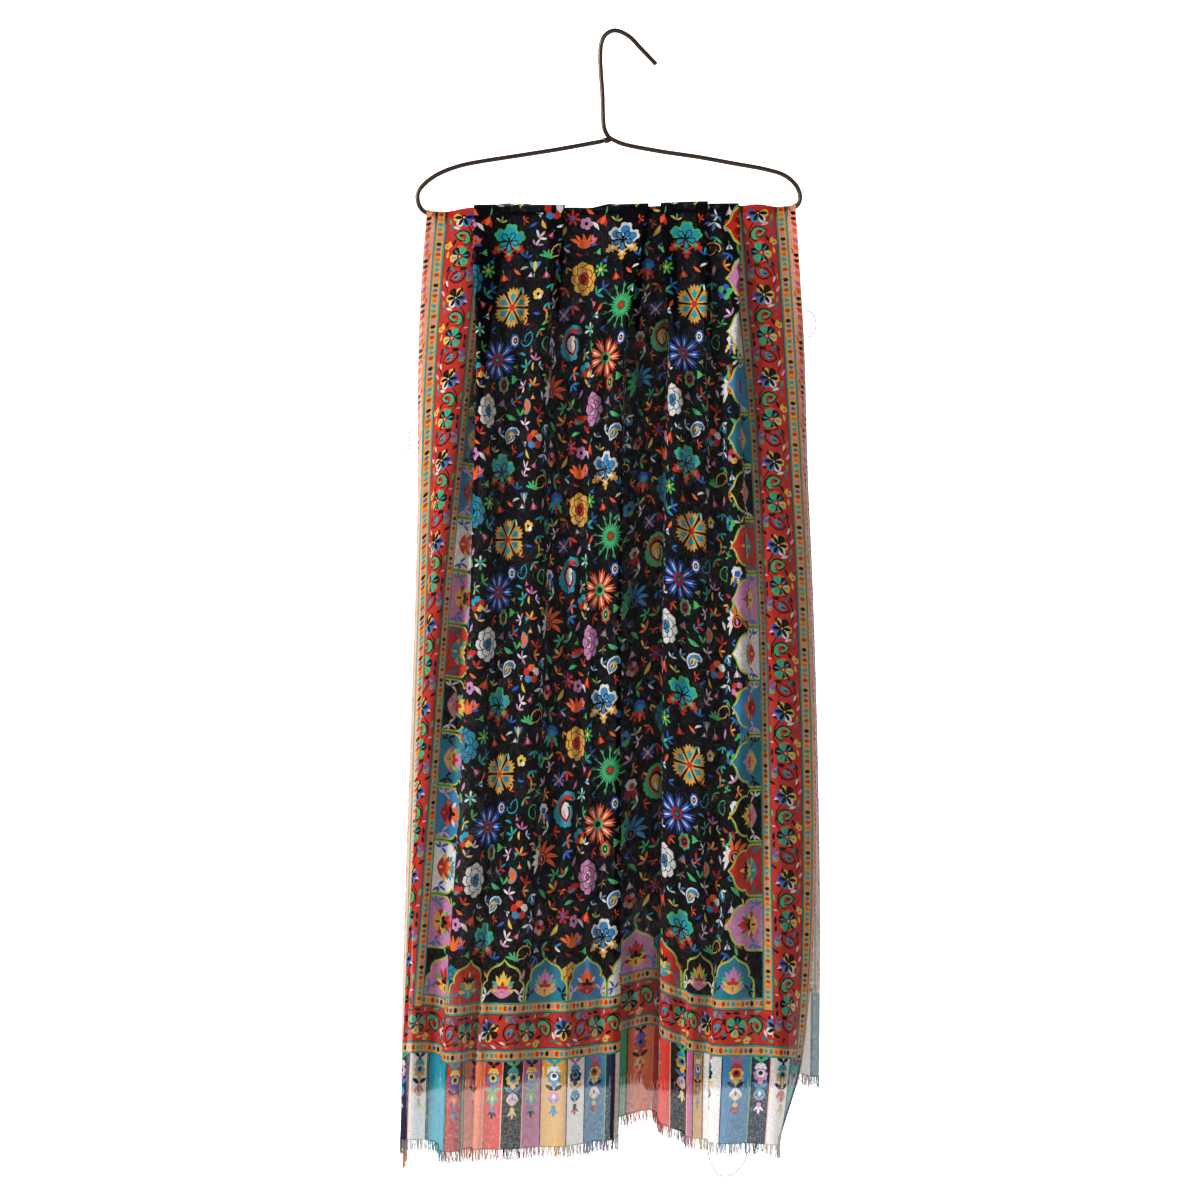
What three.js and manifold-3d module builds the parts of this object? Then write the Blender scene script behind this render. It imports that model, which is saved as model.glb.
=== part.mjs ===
// A light woven scarf with an eyelash fringe at both ends, folded once over the bottom bar of a wire
// hanger. Millimetres, +Z up, X across the scarf, -Y towards the viewer. The origin is the underside of
// the hook's crown, where a rail carries the hanger. The cloth is one length, modelled as the fall in
// front of the bar and the fall behind it, parted by a hair's gap on top of the bar.
import * as THREE from "three";
import { mergeVertices } from "three/addons/utils/BufferGeometryUtils.js";
import Module from "manifold-3d";

// Driving sizes
const WIRE_DIAMETER = 4.8;
const SCARF_WIDTH = 700;
const FRONT_DROP = 1002; // along the cloth, from the top of the bar to the front hem
const BACK_DROP = 948;
const WALL = 1.0;
const CLEARANCE = 0.3; // between pieces that touch
const PLEAT_RADIUS = 0.75; // of the cloth's middle, where a pleat turns back on itself on the bar
const FRINGE_LENGTH = 12;
const FRINGE_LOCKS = 40; // at each end of the scarf

// The hanger's wire, one length from the tip of the hook to the end that is welded to the neck, in the
// plane Y = 0.
const WIRE_ROUTE = [
  // x, z
  [44.6, -34.2], // tip of the hook
  [28.6, -17.4],
  [14.4, -3.2],
  [0, WIRE_DIAMETER / 2], // crown
  [-9.7, -1.9],
  [-14.4, -11.2],
  [-15.7, -25.5],
  [-14.9, -44.8],
  [-13.4, -66],
  [-12.5, -94],
  [-11.2, -104],
  [-6.6, -112.6], // neck
  [0, -116.8],
  [10, -120.7],
  [45.8, -127.8],
  [90.9, -134.6],
  [129.3, -141.6],
  [164, -148],
  [182.1, -153.6], // right shoulder
  [191.7, -160.3],
  [197.9, -168.2],
  [200.5, -177],
  [198.9, -184.6],
  [193.6, -189.4],
  [184, -190.9], // right end of the bar
  [95, -192.6],
  [0, -194.2],
  [-95, -195.4],
  [-194, -196.4], // left end of the bar
  [-204.4, -194.6],
  [-211, -188],
  [-213.5, -177.3],
  [-211.5, -170.4],
  [-205.2, -163],
  [-194.6, -155], // left shoulder
  [-182.1, -148.9],
  [-166, -143.6],
  [-149.3, -140.1],
  [-102.6, -132.7],
  [-59.6, -125.9],
  [-13, -117.4], // end, beside the neck
];
const BAR_START = 22; // the stretch of the route that the cloth hangs on
const BAR_END = 30;
const WIRE_STEPS = 100;
const WIRE_SIDES = 4; // to each half turn
const WELD_HALF_SIZES = [5.2, 3.0, 3.0];

// Heights of the cloth's sections, as distances below the top of the bar
const SECTION_DROPS = [0, 175, 430, 704, 898, 1002];

// Stations across the cloth. across is the flat distance from its left edge. x and depth place the
// station at each section: x from the hanger's middle, depth outwards from the bar's surface. The zone
// from a station to the next holds more cloth than its width, which bends it: bend +1 brings the right
// side forward, -1 takes it back, and pleated zones lie folded flat on the bar.
const FRONT_STATIONS = [
  { across: 0, x: [-203.5, -215, -222, -232, -236, -234], depth: [0, 3, 6, 8, 8, 10], bend: 1 },
  { across: 64, x: [-140, -157, -181, -199, -212, -216],
    depth: [3.5, 12, 22, 40, 58, 60], bend: 1, pleated: true },
  { across: 161, x: [-125, -131, -129, -142, -156, -159], depth: [7, 26, 38, 56, 68, 72], bend: 1 },
  { across: 197.5, x: [-89, -101, -104, -118, -136, -141],
    depth: [6, 22, 36, 56, 72, 76], bend: -1, pleated: true },
  { across: 290, x: [-38, -41, -44, -48, -52, -54], depth: [2.5, 22, 34, 52, 64, 66], bend: 1 },
  { across: 334.5, x: [6, -11, -17, -19, -19, -21],
    depth: [5.5, 26, 36, 44, 40, 38], bend: -1, pleated: true },
  { across: 429, x: [36, 33, 27, 25, 22, 19], depth: [2.5, 18, 18, 14, 10, 10], bend: 1, pleated: true },
  { across: 512, x: [80, 81, 76, 75, 73, 72], depth: [7, 24, 34, 42, 30, 28], bend: -1, pleated: true },
  { across: 570, x: [108, 114, 121, 115, 101, 98],
    depth: [4.5, 18, 30, 46, 52, 52], bend: -1, pleated: true },
  { across: 645, x: [141, 152, 164, 170, 172, 165], depth: [2, 12, 30, 46, 60, 62], bend: -1 },
  { across: 700, x: [195.5, 206, 218, 222, 208, 180], depth: [0, 4, 10, 16, 16, 14], bend: 1 },
];
const BACK_STATIONS = [
  { across: 0, x: [-203.5, -212, -217, -224, -227, -228], depth: [0, 4, 9, 14, 16, 18], bend: 1 },
  { across: 64, x: [-140, -155, -165, -174, -179, -181],
    depth: [3.5, 14, 26, 36, 40, 42], bend: 1, pleated: true },
  { across: 161, x: [-125, -121, -116, -113, -113, -114], depth: [7, 22, 30, 32, 34, 36], bend: -1 },
  { across: 197.5, x: [-89, -88, -87, -88, -88, -88],
    depth: [6, 16, 26, 36, 42, 44], bend: -1, pleated: true },
  { across: 290, x: [-38, -34, -30, -30, -30, -30], depth: [2.5, 20, 28, 30, 32, 34], bend: 1 },
  { across: 334.5, x: [6, 6, 6, 5, 4, 4], depth: [5.5, 22, 30, 38, 44, 46], bend: -1, pleated: true },
  { across: 429, x: [36, 46, 56, 62, 64, 65], depth: [2.5, 18, 24, 28, 30, 32], bend: 1, pleated: true },
  { across: 512, x: [80, 94, 106, 113, 116, 116],
    depth: [7, 22, 30, 38, 44, 46], bend: -1, pleated: true },
  { across: 570, x: [108, 122, 136, 148, 152, 153],
    depth: [4.5, 20, 26, 30, 34, 36], bend: -1, pleated: true },
  { across: 645, x: [141, 156, 170, 184, 191, 193], depth: [2, 14, 24, 32, 38, 40], bend: -1 },
  { across: 700, x: [195.5, 209, 222, 229, 229, 227], depth: [0, 4, 8, 12, 14, 14], bend: 1 },
];

// How far the cloth is pulled up, or hangs lower where negative, at places across it
const FRONT_LIFTS = [
  { across: 0, lift: -22, spread: 26 },
  { across: 60, lift: 8, spread: 40 },
  { across: 445, lift: 27, spread: 60 },
  { across: 700, lift: -10, spread: 40 },
];
const BACK_LIFTS = [
  { across: 210, lift: 9, spread: 60 },
  { across: 470, lift: -8, spread: 50 },
];
const LIFT_OVER = 420; // the drop in which the cloth settles to its lift

const FALLS = {
  front: {
    side: -1,
    drop: FRONT_DROP,
    stations: FRONT_STATIONS,
    lifts: FRONT_LIFTS,
    rows: [0, 1.7, 3.4, 5.1, 40, 95, 165, 260, 380, 520, 680, 810, 910, FRONT_DROP],
  },
  back: {
    side: 1,
    drop: BACK_DROP,
    stations: BACK_STATIONS,
    lifts: BACK_LIFTS,
    rows: [0, 1.7, 3.4, 5.1, 40, 100, 190, 330, 530, 740, BACK_DROP],
  },
};
const BAR_RADIUS = WIRE_DIAMETER / 2 + CLEARANCE + WALL / 2; // to the middle of the cloth
const OPEN_OVER = 380; // the drop in which a pleat opens into a wave
const BELLY = 9; // how far the pleats push the cloth out below the bar
const BELLY_OVER = 45;
const STEP = 0.5; // across the cloth, where a section is worked out

const smooth = (t) => {
  const s = Math.min(1, Math.max(0, t));
  return s * s * (3 - 2 * s);
};
const mix = (a, b, t) => a + (b - a) * t;

// The value at a drop of a column that has one number for each section, on a smooth curve through them.
function between(column, drop) {
  const last = SECTION_DROPS.length - 1;
  let i = 0;
  while (i < last - 1 && drop > SECTION_DROPS[i + 1]) i++;
  const span = SECTION_DROPS[i + 1] - SECTION_DROPS[i];
  const slope = (k) => {
    const a = Math.max(0, k - 1);
    const b = Math.min(last, k + 1);
    return (column[b] - column[a]) / (SECTION_DROPS[b] - SECTION_DROPS[a]);
  };
  const t = (drop - SECTION_DROPS[i]) / span;
  const h = t * t * (3 - 2 * t);
  return (
    mix(column[i], column[i + 1], h) +
    span * slope(i) * t * (1 - t) * (1 - t) -
    span * slope(i + 1) * t * t * (1 - t)
  );
}

// A hump from 0 to 1 and back between start and end, with ramps that each take the share `ramp` of it.
function hump(t, start, end, ramp) {
  const s = (t - start) / (end - start);
  return smooth(s / ramp) * smooth((1 - s) / ramp);
}

// The mean direction of cloth that bends by up to `bend` in such a hump: its length is the share of the
// cloth's length that is left as width, and its angle is how far the chord turns.
function meanHeading(bend, shape) {
  const samples = 80;
  let along = 0;
  let aside = 0;
  for (let i = 0; i < samples; i++) {
    const angle = bend * shape((i + 0.5) / samples);
    along += Math.cos(angle) / samples;
    aside += Math.sin(angle) / samples;
  }
  return { share: Math.hypot(along, aside), angle: Math.atan2(aside, along) };
}

// The bend that leaves the wanted share of the length.
function bendFor(share, shape) {
  let low = 0;
  let high = 3.4;
  for (let i = 0; i < 30; i++) {
    const middle = (low + high) / 2;
    if (meanHeading(middle, shape).share > share) low = middle;
    else high = middle;
  }
  return (low + high) / 2;
}

// The heading of the cloth across one zone, as a function of the share of its length.
function zoneHeading(from, to, drop) {
  const length = to.across - from.across;
  const dx = between(to.x, drop) - between(from.x, drop);
  const dd = between(to.depth, drop) - between(from.depth, drop);
  const chord = Math.min(Math.hypot(dx, dd), 0.995 * length);
  const turn = Math.PI * PLEAT_RADIUS;
  const folded = Math.max(0, (length - (to.x[0] - from.x[0]) - 2 * turn) / 2);
  const open = from.pleated ? smooth(drop / OPEN_OVER) : 1;
  const wide = mix((folded + 2 * turn) / length, 1, open);
  const ramp = mix(turn / (folded + 2 * turn), 0.5, open);
  const shape = (t) => hump(t, (1 - wide) / 2, (1 + wide) / 2, ramp);
  const bend = bendFor(chord / length, shape);
  const { angle } = meanHeading(bend, shape);
  return (t) => Math.atan2(dd, dx) + from.bend * (bend * shape(t) - angle);
}

// A level section through a fall: x and depth at every STEP across the cloth, worked out by following
// its heading.
const sections = new Map();
function sectionAt(fall, drop) {
  const key = fall.side + ":" + drop;
  if (sections.has(key)) return sections.get(key);
  const { stations } = fall;
  const count = Math.round(SCARF_WIDTH / STEP);
  const heading = [];
  stations.slice(0, -1).forEach((from, k) => {
    const to = stations[k + 1];
    const at = zoneHeading(from, to, drop);
    const steps = Math.round((to.across - from.across) / STEP);
    for (let i = 0; i < steps; i++) heading.push(at((i + 0.5) / steps));
  });
  // Steps on each side that smooth the heading
  const reach = Math.round(mix(1, 16, smooth(drop / OPEN_OVER)));
  const sum = [0];
  heading.forEach((h, i) => sum.push(sum[i] + h));
  const x = [0];
  const depth = [0];
  for (let i = 0; i < count; i++) {
    const a = Math.max(0, i - reach);
    const b = Math.min(count, i + reach + 1);
    const angle = (sum[b] - sum[a]) / (b - a);
    x.push(x[i] + STEP * Math.cos(angle));
    depth.push(depth[i] + STEP * Math.sin(angle));
  }
  // What smoothing moved is put back, evenly between stations.
  const fixed = { x: [...x], depth: [...depth] };
  stations.slice(0, -1).forEach((from, k) => {
    const to = stations[k + 1];
    const a = Math.round(from.across / STEP);
    const b = Math.round(to.across / STEP);
    for (let i = a; i <= b; i++) {
      const t = (i - a) / (b - a);
      const off = (name, values) =>
        mix(between(from[name], drop) - values[a], between(to[name], drop) - values[b], t);
      fixed.x[i] = x[i] + off("x", x);
      fixed.depth[i] = depth[i] + off("depth", depth);
    }
  });
  sections.set(key, fixed);
  return fixed;
}

const at = (values, across) => {
  const i = Math.min(values.length - 2, Math.max(0, Math.floor(across / STEP)));
  return mix(values[i], values[i + 1], across / STEP - i);
};

const wireCurve = new THREE.CatmullRomCurve3(
  WIRE_ROUTE.map(([x, z]) => new THREE.Vector3(x, 0, z)),
  false,
  "centripetal",
);
// Steps follow the route's points, which lie close at its bends
wireCurve.getUtoTmapping = (share) => share;

const barPoints = Array.from({ length: 801 }, (_, i) =>
  wireCurve.getPoint(mix(BAR_START, BAR_END, i / 800) / (WIRE_ROUTE.length - 1)),
);
// The height at which a point of the cloth, at x and y, is as far as `out` from the bar's middle line.
function heightOnBar(x, y, out) {
  const slack = 0.6; // more than half the distance between the bar's points
  const reach = out * out - y * y;
  return barPoints
    .filter((p) => Math.abs(p.x - x) < Math.sqrt(Math.max(0, reach)) + slack)
    .reduce((top, p) => Math.max(top, p.z + Math.sqrt(Math.max(0, reach - (p.x - x) ** 2))), -Infinity);
}

// A depth that would cut into the bar or the other fall is eased back to its surface.
const clearOfBar = (depth) => (depth + Math.hypot(depth, 0.4)) / 2;

const liftAt = (fall, across) =>
  fall.lifts.reduce((sum, l) => sum + l.lift * Math.exp(-(((across - l.across) / l.spread) ** 2)), 0);

// A point of the cloth's middle surface: over the bar as a quarter turn, then straight down.
function clothPoint(fall, across, drop) {
  const quarter = (Math.PI / 2) * BAR_RADIUS;
  const below = Math.max(0, drop - quarter);
  const section = sectionAt(fall, below);
  const out = BAR_RADIUS + clearOfBar(at(section.depth, across) + BELLY * smooth(below / BELLY_OVER));
  const angle = mix(CLEARANCE / 2 / BAR_RADIUS, Math.PI / 2, Math.min(1, drop / quarter));
  const y = out * Math.sin(angle);
  const rest = heightOnBar(at(sectionAt(fall, 0).x, across), y, out);
  const lift = liftAt(fall, across) * smooth(drop / LIFT_OVER);
  return new THREE.Vector3(at(section.x, across), fall.side * y, rest - below + lift);
}

// Places across the cloth where its wall has points: close where a pleat turns, wide where it is flat.
function columnsOf(stations) {
  const turn = Math.PI * PLEAT_RADIUS;
  const columns = [];
  stations.slice(0, -1).forEach((from, k) => {
    const length = stations[k + 1].across - from.across;
    if (!from.pleated) {
      const parts = Math.round(length / 11);
      for (let i = 0; i < parts; i++) columns.push(from.across + (length * i) / parts);
      return;
    }
    const folded = (length - (stations[k + 1].x[0] - from.x[0]) - 2 * turn) / 2;
    const start = (length - folded - 2 * turn) / 2;
    const stops = [
      ...[0, 0.35, 0.7].map((s) => s * start),
      ...[0, 0.3, 0.5, 0.7, 1].map((s) => start + s * turn),
      ...[0.33, 0.67].map((s) => start + turn + s * folded),
      ...[0, 0.3, 0.5, 0.7, 1].map((s) => start + turn + folded + s * turn),
      ...[0.3, 0.65].map((s) => length - (1 - s) * start),
    ];
    stops.forEach((s) => columns.push(from.across + s));
  });
  return [...columns, SCARF_WIDTH];
}

// A closed wall from rows of points of its middle surface, thickened along its normals. The first and
// last rows only give the slope at the wall's own ends.
function wall(grid, thickness) {
  const rows = grid.length - 2;
  const columns = grid[0].length;
  const point = (i, j) => grid[i + 1][Math.min(columns - 1, Math.max(0, j))];
  const positions = [];
  for (const half of [thickness / 2, -thickness / 2]) {
    for (let i = 0; i < rows; i++) {
      for (let j = 0; j < columns; j++) {
        const acrossWay = point(i, j + 1).clone().sub(point(i, j - 1)).normalize();
        const downWay = point(i + 1, j).clone().sub(point(i - 1, j)).normalize();
        const normal = acrossWay.cross(downWay).normalize();
        positions.push(...point(i, j).clone().addScaledVector(normal, half).toArray());
      }
    }
  }
  const index = [];
  const layer = rows * columns;
  const quad = (a, b, c, d) => index.push(a, b, c, a, c, d);
  for (let i = 0; i < rows - 1; i++) {
    for (let j = 0; j < columns - 1; j++) {
      const a = i * columns + j;
      quad(a, a + 1, a + 1 + columns, a + columns);
      quad(layer + a, layer + a + columns, layer + a + 1 + columns, layer + a + 1);
    }
  }
  for (let j = 0; j < columns - 1; j++) {
    const bottom = (rows - 1) * columns + j;
    quad(j, layer + j, layer + j + 1, j + 1);
    quad(bottom, bottom + 1, layer + bottom + 1, layer + bottom);
  }
  for (let i = 0; i < rows - 1; i++) {
    const left = i * columns;
    const right = left + columns - 1;
    quad(left, left + columns, layer + left + columns, layer + left);
    quad(right, layer + right, layer + right + columns, right + columns);
  }
  const geometry = new THREE.BufferGeometry();
  geometry.setAttribute("position", new THREE.Float32BufferAttribute(positions, 3));
  geometry.setIndex(index);
  return geometry;
}

// Turned inside out where its faces point inwards.
function facingOut(geometry) {
  const p = geometry.attributes.position;
  const [a, b, c] = [new THREE.Vector3(), new THREE.Vector3(), new THREE.Vector3()];
  const { array } = geometry.index;
  let volume = 0;
  for (let i = 0; i < array.length; i += 3) {
    a.fromBufferAttribute(p, array[i]);
    b.fromBufferAttribute(p, array[i + 1]);
    c.fromBufferAttribute(p, array[i + 2]);
    volume += a.dot(b.cross(c)) / 6;
  }
  if (volume < 0) {
    for (let i = 0; i < array.length; i += 3) {
      [array[i], array[i + 1]] = [array[i + 1], array[i]];
    }
  }
  return geometry;
}

function fallGeometry(fall) {
  const columns = columnsOf(fall.stations);
  const rows = [-fall.rows[1], ...fall.rows, fall.drop + 10];
  const grid = rows.map((drop) => columns.map((across) => clothPoint(fall, across, drop)));
  return facingOut(wall(grid, WALL));
}

const wasm = await Module();
wasm.setup();

function solid(geometry) {
  const bare = geometry.clone();
  bare.deleteAttribute("normal");
  bare.deleteAttribute("uv");
  const merged = mergeVertices(bare, 1e-4);
  return new wasm.Manifold(
    new wasm.Mesh({
      numProp: 3,
      vertProperties: merged.attributes.position.array,
      triVerts: new Uint32Array(merged.index.array),
    }),
  );
}

function geometryOf(manifold) {
  const mesh = manifold.getMesh();
  const geometry = new THREE.BufferGeometry();
  geometry.setAttribute("position", new THREE.BufferAttribute(mesh.vertProperties, 3));
  geometry.setIndex(new THREE.BufferAttribute(mesh.triVerts, 1));
  geometry.computeVertexNormals();
  return geometry;
}

// The hanger: a round wire along its route, with its end welded to the neck.
function wireGeometry() {
  const section = new THREE.Shape().absarc(0, 0, WIRE_DIAMETER / 2, 0, 2 * Math.PI, false);
  const tube = new THREE.ExtrudeGeometry(section, {
    steps: WIRE_STEPS,
    curveSegments: WIRE_SIDES,
    extrudePath: wireCurve,
  });
  const weld = new THREE.SphereGeometry(1, 12, 8);
  const [x, z] = WIRE_ROUTE[WIRE_ROUTE.length - 1];
  weld.scale(...WELD_HALF_SIZES).translate(x + WELD_HALF_SIZES[0] * 0.75, 0, z + 0.9);
  return geometryOf(solid(tube).add(solid(weld)));
}

// The fringe: a narrow strip under the hem, and tapering locks that hang from it.
function fringeGeometry(fall) {
  const stripHeight = 1.6;
  const lockWidth = 4.6;
  const columns = columnsOf(fall.stations);
  const hemPoints = columns.map((across) => clothPoint(fall, across, fall.drop));
  const hem = (across, below) => {
    const i = Math.max(1, columns.findIndex((c) => c >= across));
    const share = (across - columns[i - 1]) / (columns[i] - columns[i - 1]);
    const point = hemPoints[i - 1].clone().lerp(hemPoints[i], share);
    point.z -= CLEARANCE + WALL / 2 + below;
    return point;
  };
  const strip = facingOut(
    wall(
      [-stripHeight, 0, stripHeight, 2 * stripHeight].map((below) => {
        return columns.map((across) => hem(across, below));
      }),
      WALL * 0.8,
    ),
  );
  let fringe = solid(strip);
  for (let i = 0; i < FRINGE_LOCKS; i++) {
    const pitch = SCARF_WIDTH / FRINGE_LOCKS;
    const across = (i + 0.5) * pitch;
    const length = FRINGE_LENGTH * (0.86 + 0.14 * Math.sin(i * 2.4));
    const sway = 1.4 * Math.sin(i * 1.7);
    const left = hem(across - lockWidth / 2, stripHeight * 0.5);
    const right = hem(across + lockWidth / 2, stripHeight * 0.5);
    const out = new THREE.Vector3(0, 0, 1).cross(right.clone().sub(left)).setLength(WALL * 0.34);
    const middle = left.clone().add(right).multiplyScalar(0.5);
    const root = [left.clone().sub(out), right.clone().sub(out), middle.clone().addScaledVector(out, 1.2)];
    const tip = middle.clone().add(new THREE.Vector3(sway, 0, -length));
    const lock = new THREE.BufferGeometry();
    lock.setAttribute(
      "position",
      new THREE.Float32BufferAttribute([...root, tip].flatMap((p) => p.toArray()), 3),
    );
    lock.setIndex([0, 2, 1, 0, 1, 3, 1, 2, 3, 2, 0, 3]);
    fringe = fringe.add(solid(facingOut(lock)));
  }
  return geometryOf(fringe);
}

const part = new THREE.Group();
part.name = "scarf_on_hanger";
function addPiece(name, geometry, colour, roughness, metalness = 0) {
  const material = new THREE.MeshStandardMaterial({ color: colour, roughness, metalness });
  const mesh = new THREE.Mesh(geometry, material);
  mesh.name = name;
  part.add(mesh);
}
addPiece("hanger_wire", wireGeometry(), 0x5a463b, 0.38, 0.9);
addPiece("scarf_front_fall", fallGeometry(FALLS.front), 0x2b2326, 0.9);
addPiece("scarf_back_fall", fallGeometry(FALLS.back), 0x2b2326, 0.9);
addPiece("front_fringe", fringeGeometry(FALLS.front), 0xb98f78, 0.95);
addPiece("back_fringe", fringeGeometry(FALLS.back), 0xb98f78, 0.95);

export default part;
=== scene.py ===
"""A light woven scarf, folded once over the bar of a wire hanger, on white.

The cloth is cut from its flat pattern: every band, arch, stripe and flower is a polygon in flat cloth
coordinates, all of them are merged into one triangulation, and its points are then carried onto the
hanging form. Flat coordinates are in millimetres: s runs across the cloth from its left edge, and w runs
along it, 0 on the bar, positive down the front fall and negative down the back one. Sizes are in
millimetres until a mesh is made.
"""

import math

import bpy
import numpy as np
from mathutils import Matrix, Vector
from mathutils.geometry import delaunay_2d_cdt


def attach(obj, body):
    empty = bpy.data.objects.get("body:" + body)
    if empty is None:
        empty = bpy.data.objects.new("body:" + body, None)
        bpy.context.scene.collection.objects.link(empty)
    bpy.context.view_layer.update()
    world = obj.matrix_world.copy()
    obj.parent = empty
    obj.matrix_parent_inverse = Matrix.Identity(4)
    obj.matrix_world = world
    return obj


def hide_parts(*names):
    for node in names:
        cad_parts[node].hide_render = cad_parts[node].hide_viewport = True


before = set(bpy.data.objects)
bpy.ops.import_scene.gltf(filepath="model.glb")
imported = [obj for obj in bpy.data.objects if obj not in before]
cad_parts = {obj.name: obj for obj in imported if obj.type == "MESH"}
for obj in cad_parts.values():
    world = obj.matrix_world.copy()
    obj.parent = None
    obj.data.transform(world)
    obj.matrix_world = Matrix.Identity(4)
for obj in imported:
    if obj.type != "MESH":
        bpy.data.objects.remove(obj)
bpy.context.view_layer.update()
MM = 0.001

# The hanging form, the same as that of the solids

WIRE_DIAMETER = 4.8
SCARF_WIDTH = 700
FRONT_DROP = 1002
BACK_DROP = 948
CLEARANCE = 0.3
WALL = 1.0
PLEAT_RADIUS = 0.75
BAR_RADIUS = WIRE_DIAMETER / 2 + CLEARANCE + WALL / 2
OPEN_OVER = 380
BELLY = 9
BELLY_OVER = 45
LIFT_OVER = 420
CURL, CURL_TURN, CURL_OVER = 15.0, 1.7, 330
STEP = 0.5
ROW_STEP = 5.0
SECTION_DROPS = np.array([0, 175, 430, 704, 898, 1002.0])

WIRE_ROUTE = np.array(
    [  # x, z
        (44.6, -34.2), (28.6, -17.4), (14.4, -3.2), (0, 2.4), (-9.7, -1.9), (-14.4, -11.2), (-15.7, -25.5),
        (-14.9, -44.8), (-13.4, -66), (-12.5, -94), (-11.2, -104), (-6.6, -112.6), (0, -116.8), (10, -120.7),
        (45.8, -127.8), (90.9, -134.6), (129.3, -141.6), (164, -148), (182.1, -153.6), (191.7, -160.3),
        (197.9, -168.2), (200.5, -177), (198.9, -184.6), (193.6, -189.4), (184, -190.9), (95, -192.6),
        (0, -194.2), (-95, -195.4), (-194, -196.4), (-204.4, -194.6), (-211, -188), (-213.5, -177.3),
        (-211.5, -170.4), (-205.2, -163), (-194.6, -155), (-182.1, -148.9), (-166, -143.6), (-149.3, -140.1),
        (-102.6, -132.7), (-59.6, -125.9), (-13, -117.4),
    ]
)
BAR_START, BAR_END = 22, 30

# across, x at each section, depth at each section, bend, pleated
FRONT_STATIONS = [
    (0, [-203.5, -215, -222, -232, -236, -234], [0, 3, 6, 8, 8, 10], 1, False),
    (64, [-140, -157, -181, -199, -212, -216], [3.5, 12, 22, 40, 58, 60], 1, True),
    (161, [-125, -131, -129, -142, -156, -159], [7, 26, 38, 56, 68, 72], 1, False),
    (197.5, [-89, -101, -104, -118, -136, -141], [6, 22, 36, 56, 72, 76], -1, True),
    (290, [-38, -41, -44, -48, -52, -54], [2.5, 22, 34, 52, 64, 66], 1, False),
    (334.5, [6, -11, -17, -19, -19, -21], [5.5, 26, 36, 44, 40, 38], -1, True),
    (429, [36, 33, 27, 25, 22, 19], [2.5, 18, 18, 14, 10, 10], 1, True),
    (512, [80, 81, 76, 75, 73, 72], [7, 24, 34, 42, 30, 28], -1, True),
    (570, [108, 114, 121, 115, 101, 98], [4.5, 18, 30, 46, 52, 52], -1, True),
    (645, [141, 152, 164, 170, 172, 165], [2, 12, 30, 46, 60, 62], -1, False),
    (700, [195.5, 206, 218, 222, 208, 180], [0, 4, 10, 16, 16, 14], 1, False),
]
BACK_STATIONS = [
    (0, [-203.5, -212, -217, -224, -227, -228], [0, 4, 9, 14, 16, 18], 1, False),
    (64, [-140, -155, -165, -174, -179, -181], [3.5, 14, 26, 36, 40, 42], 1, True),
    (161, [-125, -121, -116, -113, -113, -114], [7, 22, 30, 32, 34, 36], -1, False),
    (197.5, [-89, -88, -87, -88, -88, -88], [6, 16, 26, 36, 42, 44], -1, True),
    (290, [-38, -34, -30, -30, -30, -30], [2.5, 20, 28, 30, 32, 34], 1, False),
    (334.5, [6, 6, 6, 5, 4, 4], [5.5, 22, 30, 38, 44, 46], -1, True),
    (429, [36, 46, 56, 62, 64, 65], [2.5, 18, 24, 28, 30, 32], 1, True),
    (512, [80, 94, 106, 113, 116, 116], [7, 22, 30, 38, 44, 46], -1, True),
    (570, [108, 122, 136, 148, 152, 153], [4.5, 20, 26, 30, 34, 36], -1, True),
    (645, [141, 156, 170, 184, 191, 193], [2, 14, 24, 32, 38, 40], -1, False),
    (700, [195.5, 209, 222, 229, 229, 227], [0, 4, 8, 12, 14, 14], 1, False),
]
# across, lift, spread
FRONT_LIFTS = [(0, -22, 26), (60, 8, 40), (445, 27, 60), (700, -10, 40)]
BACK_LIFTS = [(210, 9, 60), (470, -8, 50)]
# Soft creases between the pleats: across and drop of the middle, half width, half length, depth, lean
FRONT_CREASES = [
    (84, 430, 6, 260, -3.0, 0.02),
    (104, 560, 7, 190, 3.4, 0.04),
    (150, 820, 8, 150, -3.0, -0.03),
    (178, 300, 6, 160, -3.2, -0.04),
    (214, 160, 5, 120, 2.8, 0.02),
    (232, 260, 5, 150, -3.6, 0.03),
    (246, 640, 8, 220, 3.4, -0.03),
    (268, 200, 5, 140, 3.0, 0.03),
    (280, 480, 6, 180, -3.2, 0.04),
    (304, 330, 5, 150, 2.6, -0.03),
    (312, 790, 8, 160, -3.4, 0.02),
    (352, 250, 5, 130, 3.2, -0.05),
    (378, 640, 7, 180, 3.0, 0.03),
    (404, 420, 6, 170, -3.0, 0.02),
    (448, 220, 5, 130, 2.8, -0.03),
    (470, 560, 7, 240, -3.6, -0.04),
    (498, 300, 5, 160, 3.2, 0.02),
    (528, 760, 8, 160, 3.4, -0.04),
    (546, 330, 6, 180, 3.0, 0.04),
    (596, 700, 8, 210, -3.6, -0.05),
    (618, 380, 6, 200, 2.6, 0.02),
    (668, 520, 8, 260, 2.8, 0.02),
    (34, 860, 7, 120, -2.6, 0.03),
]
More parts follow.
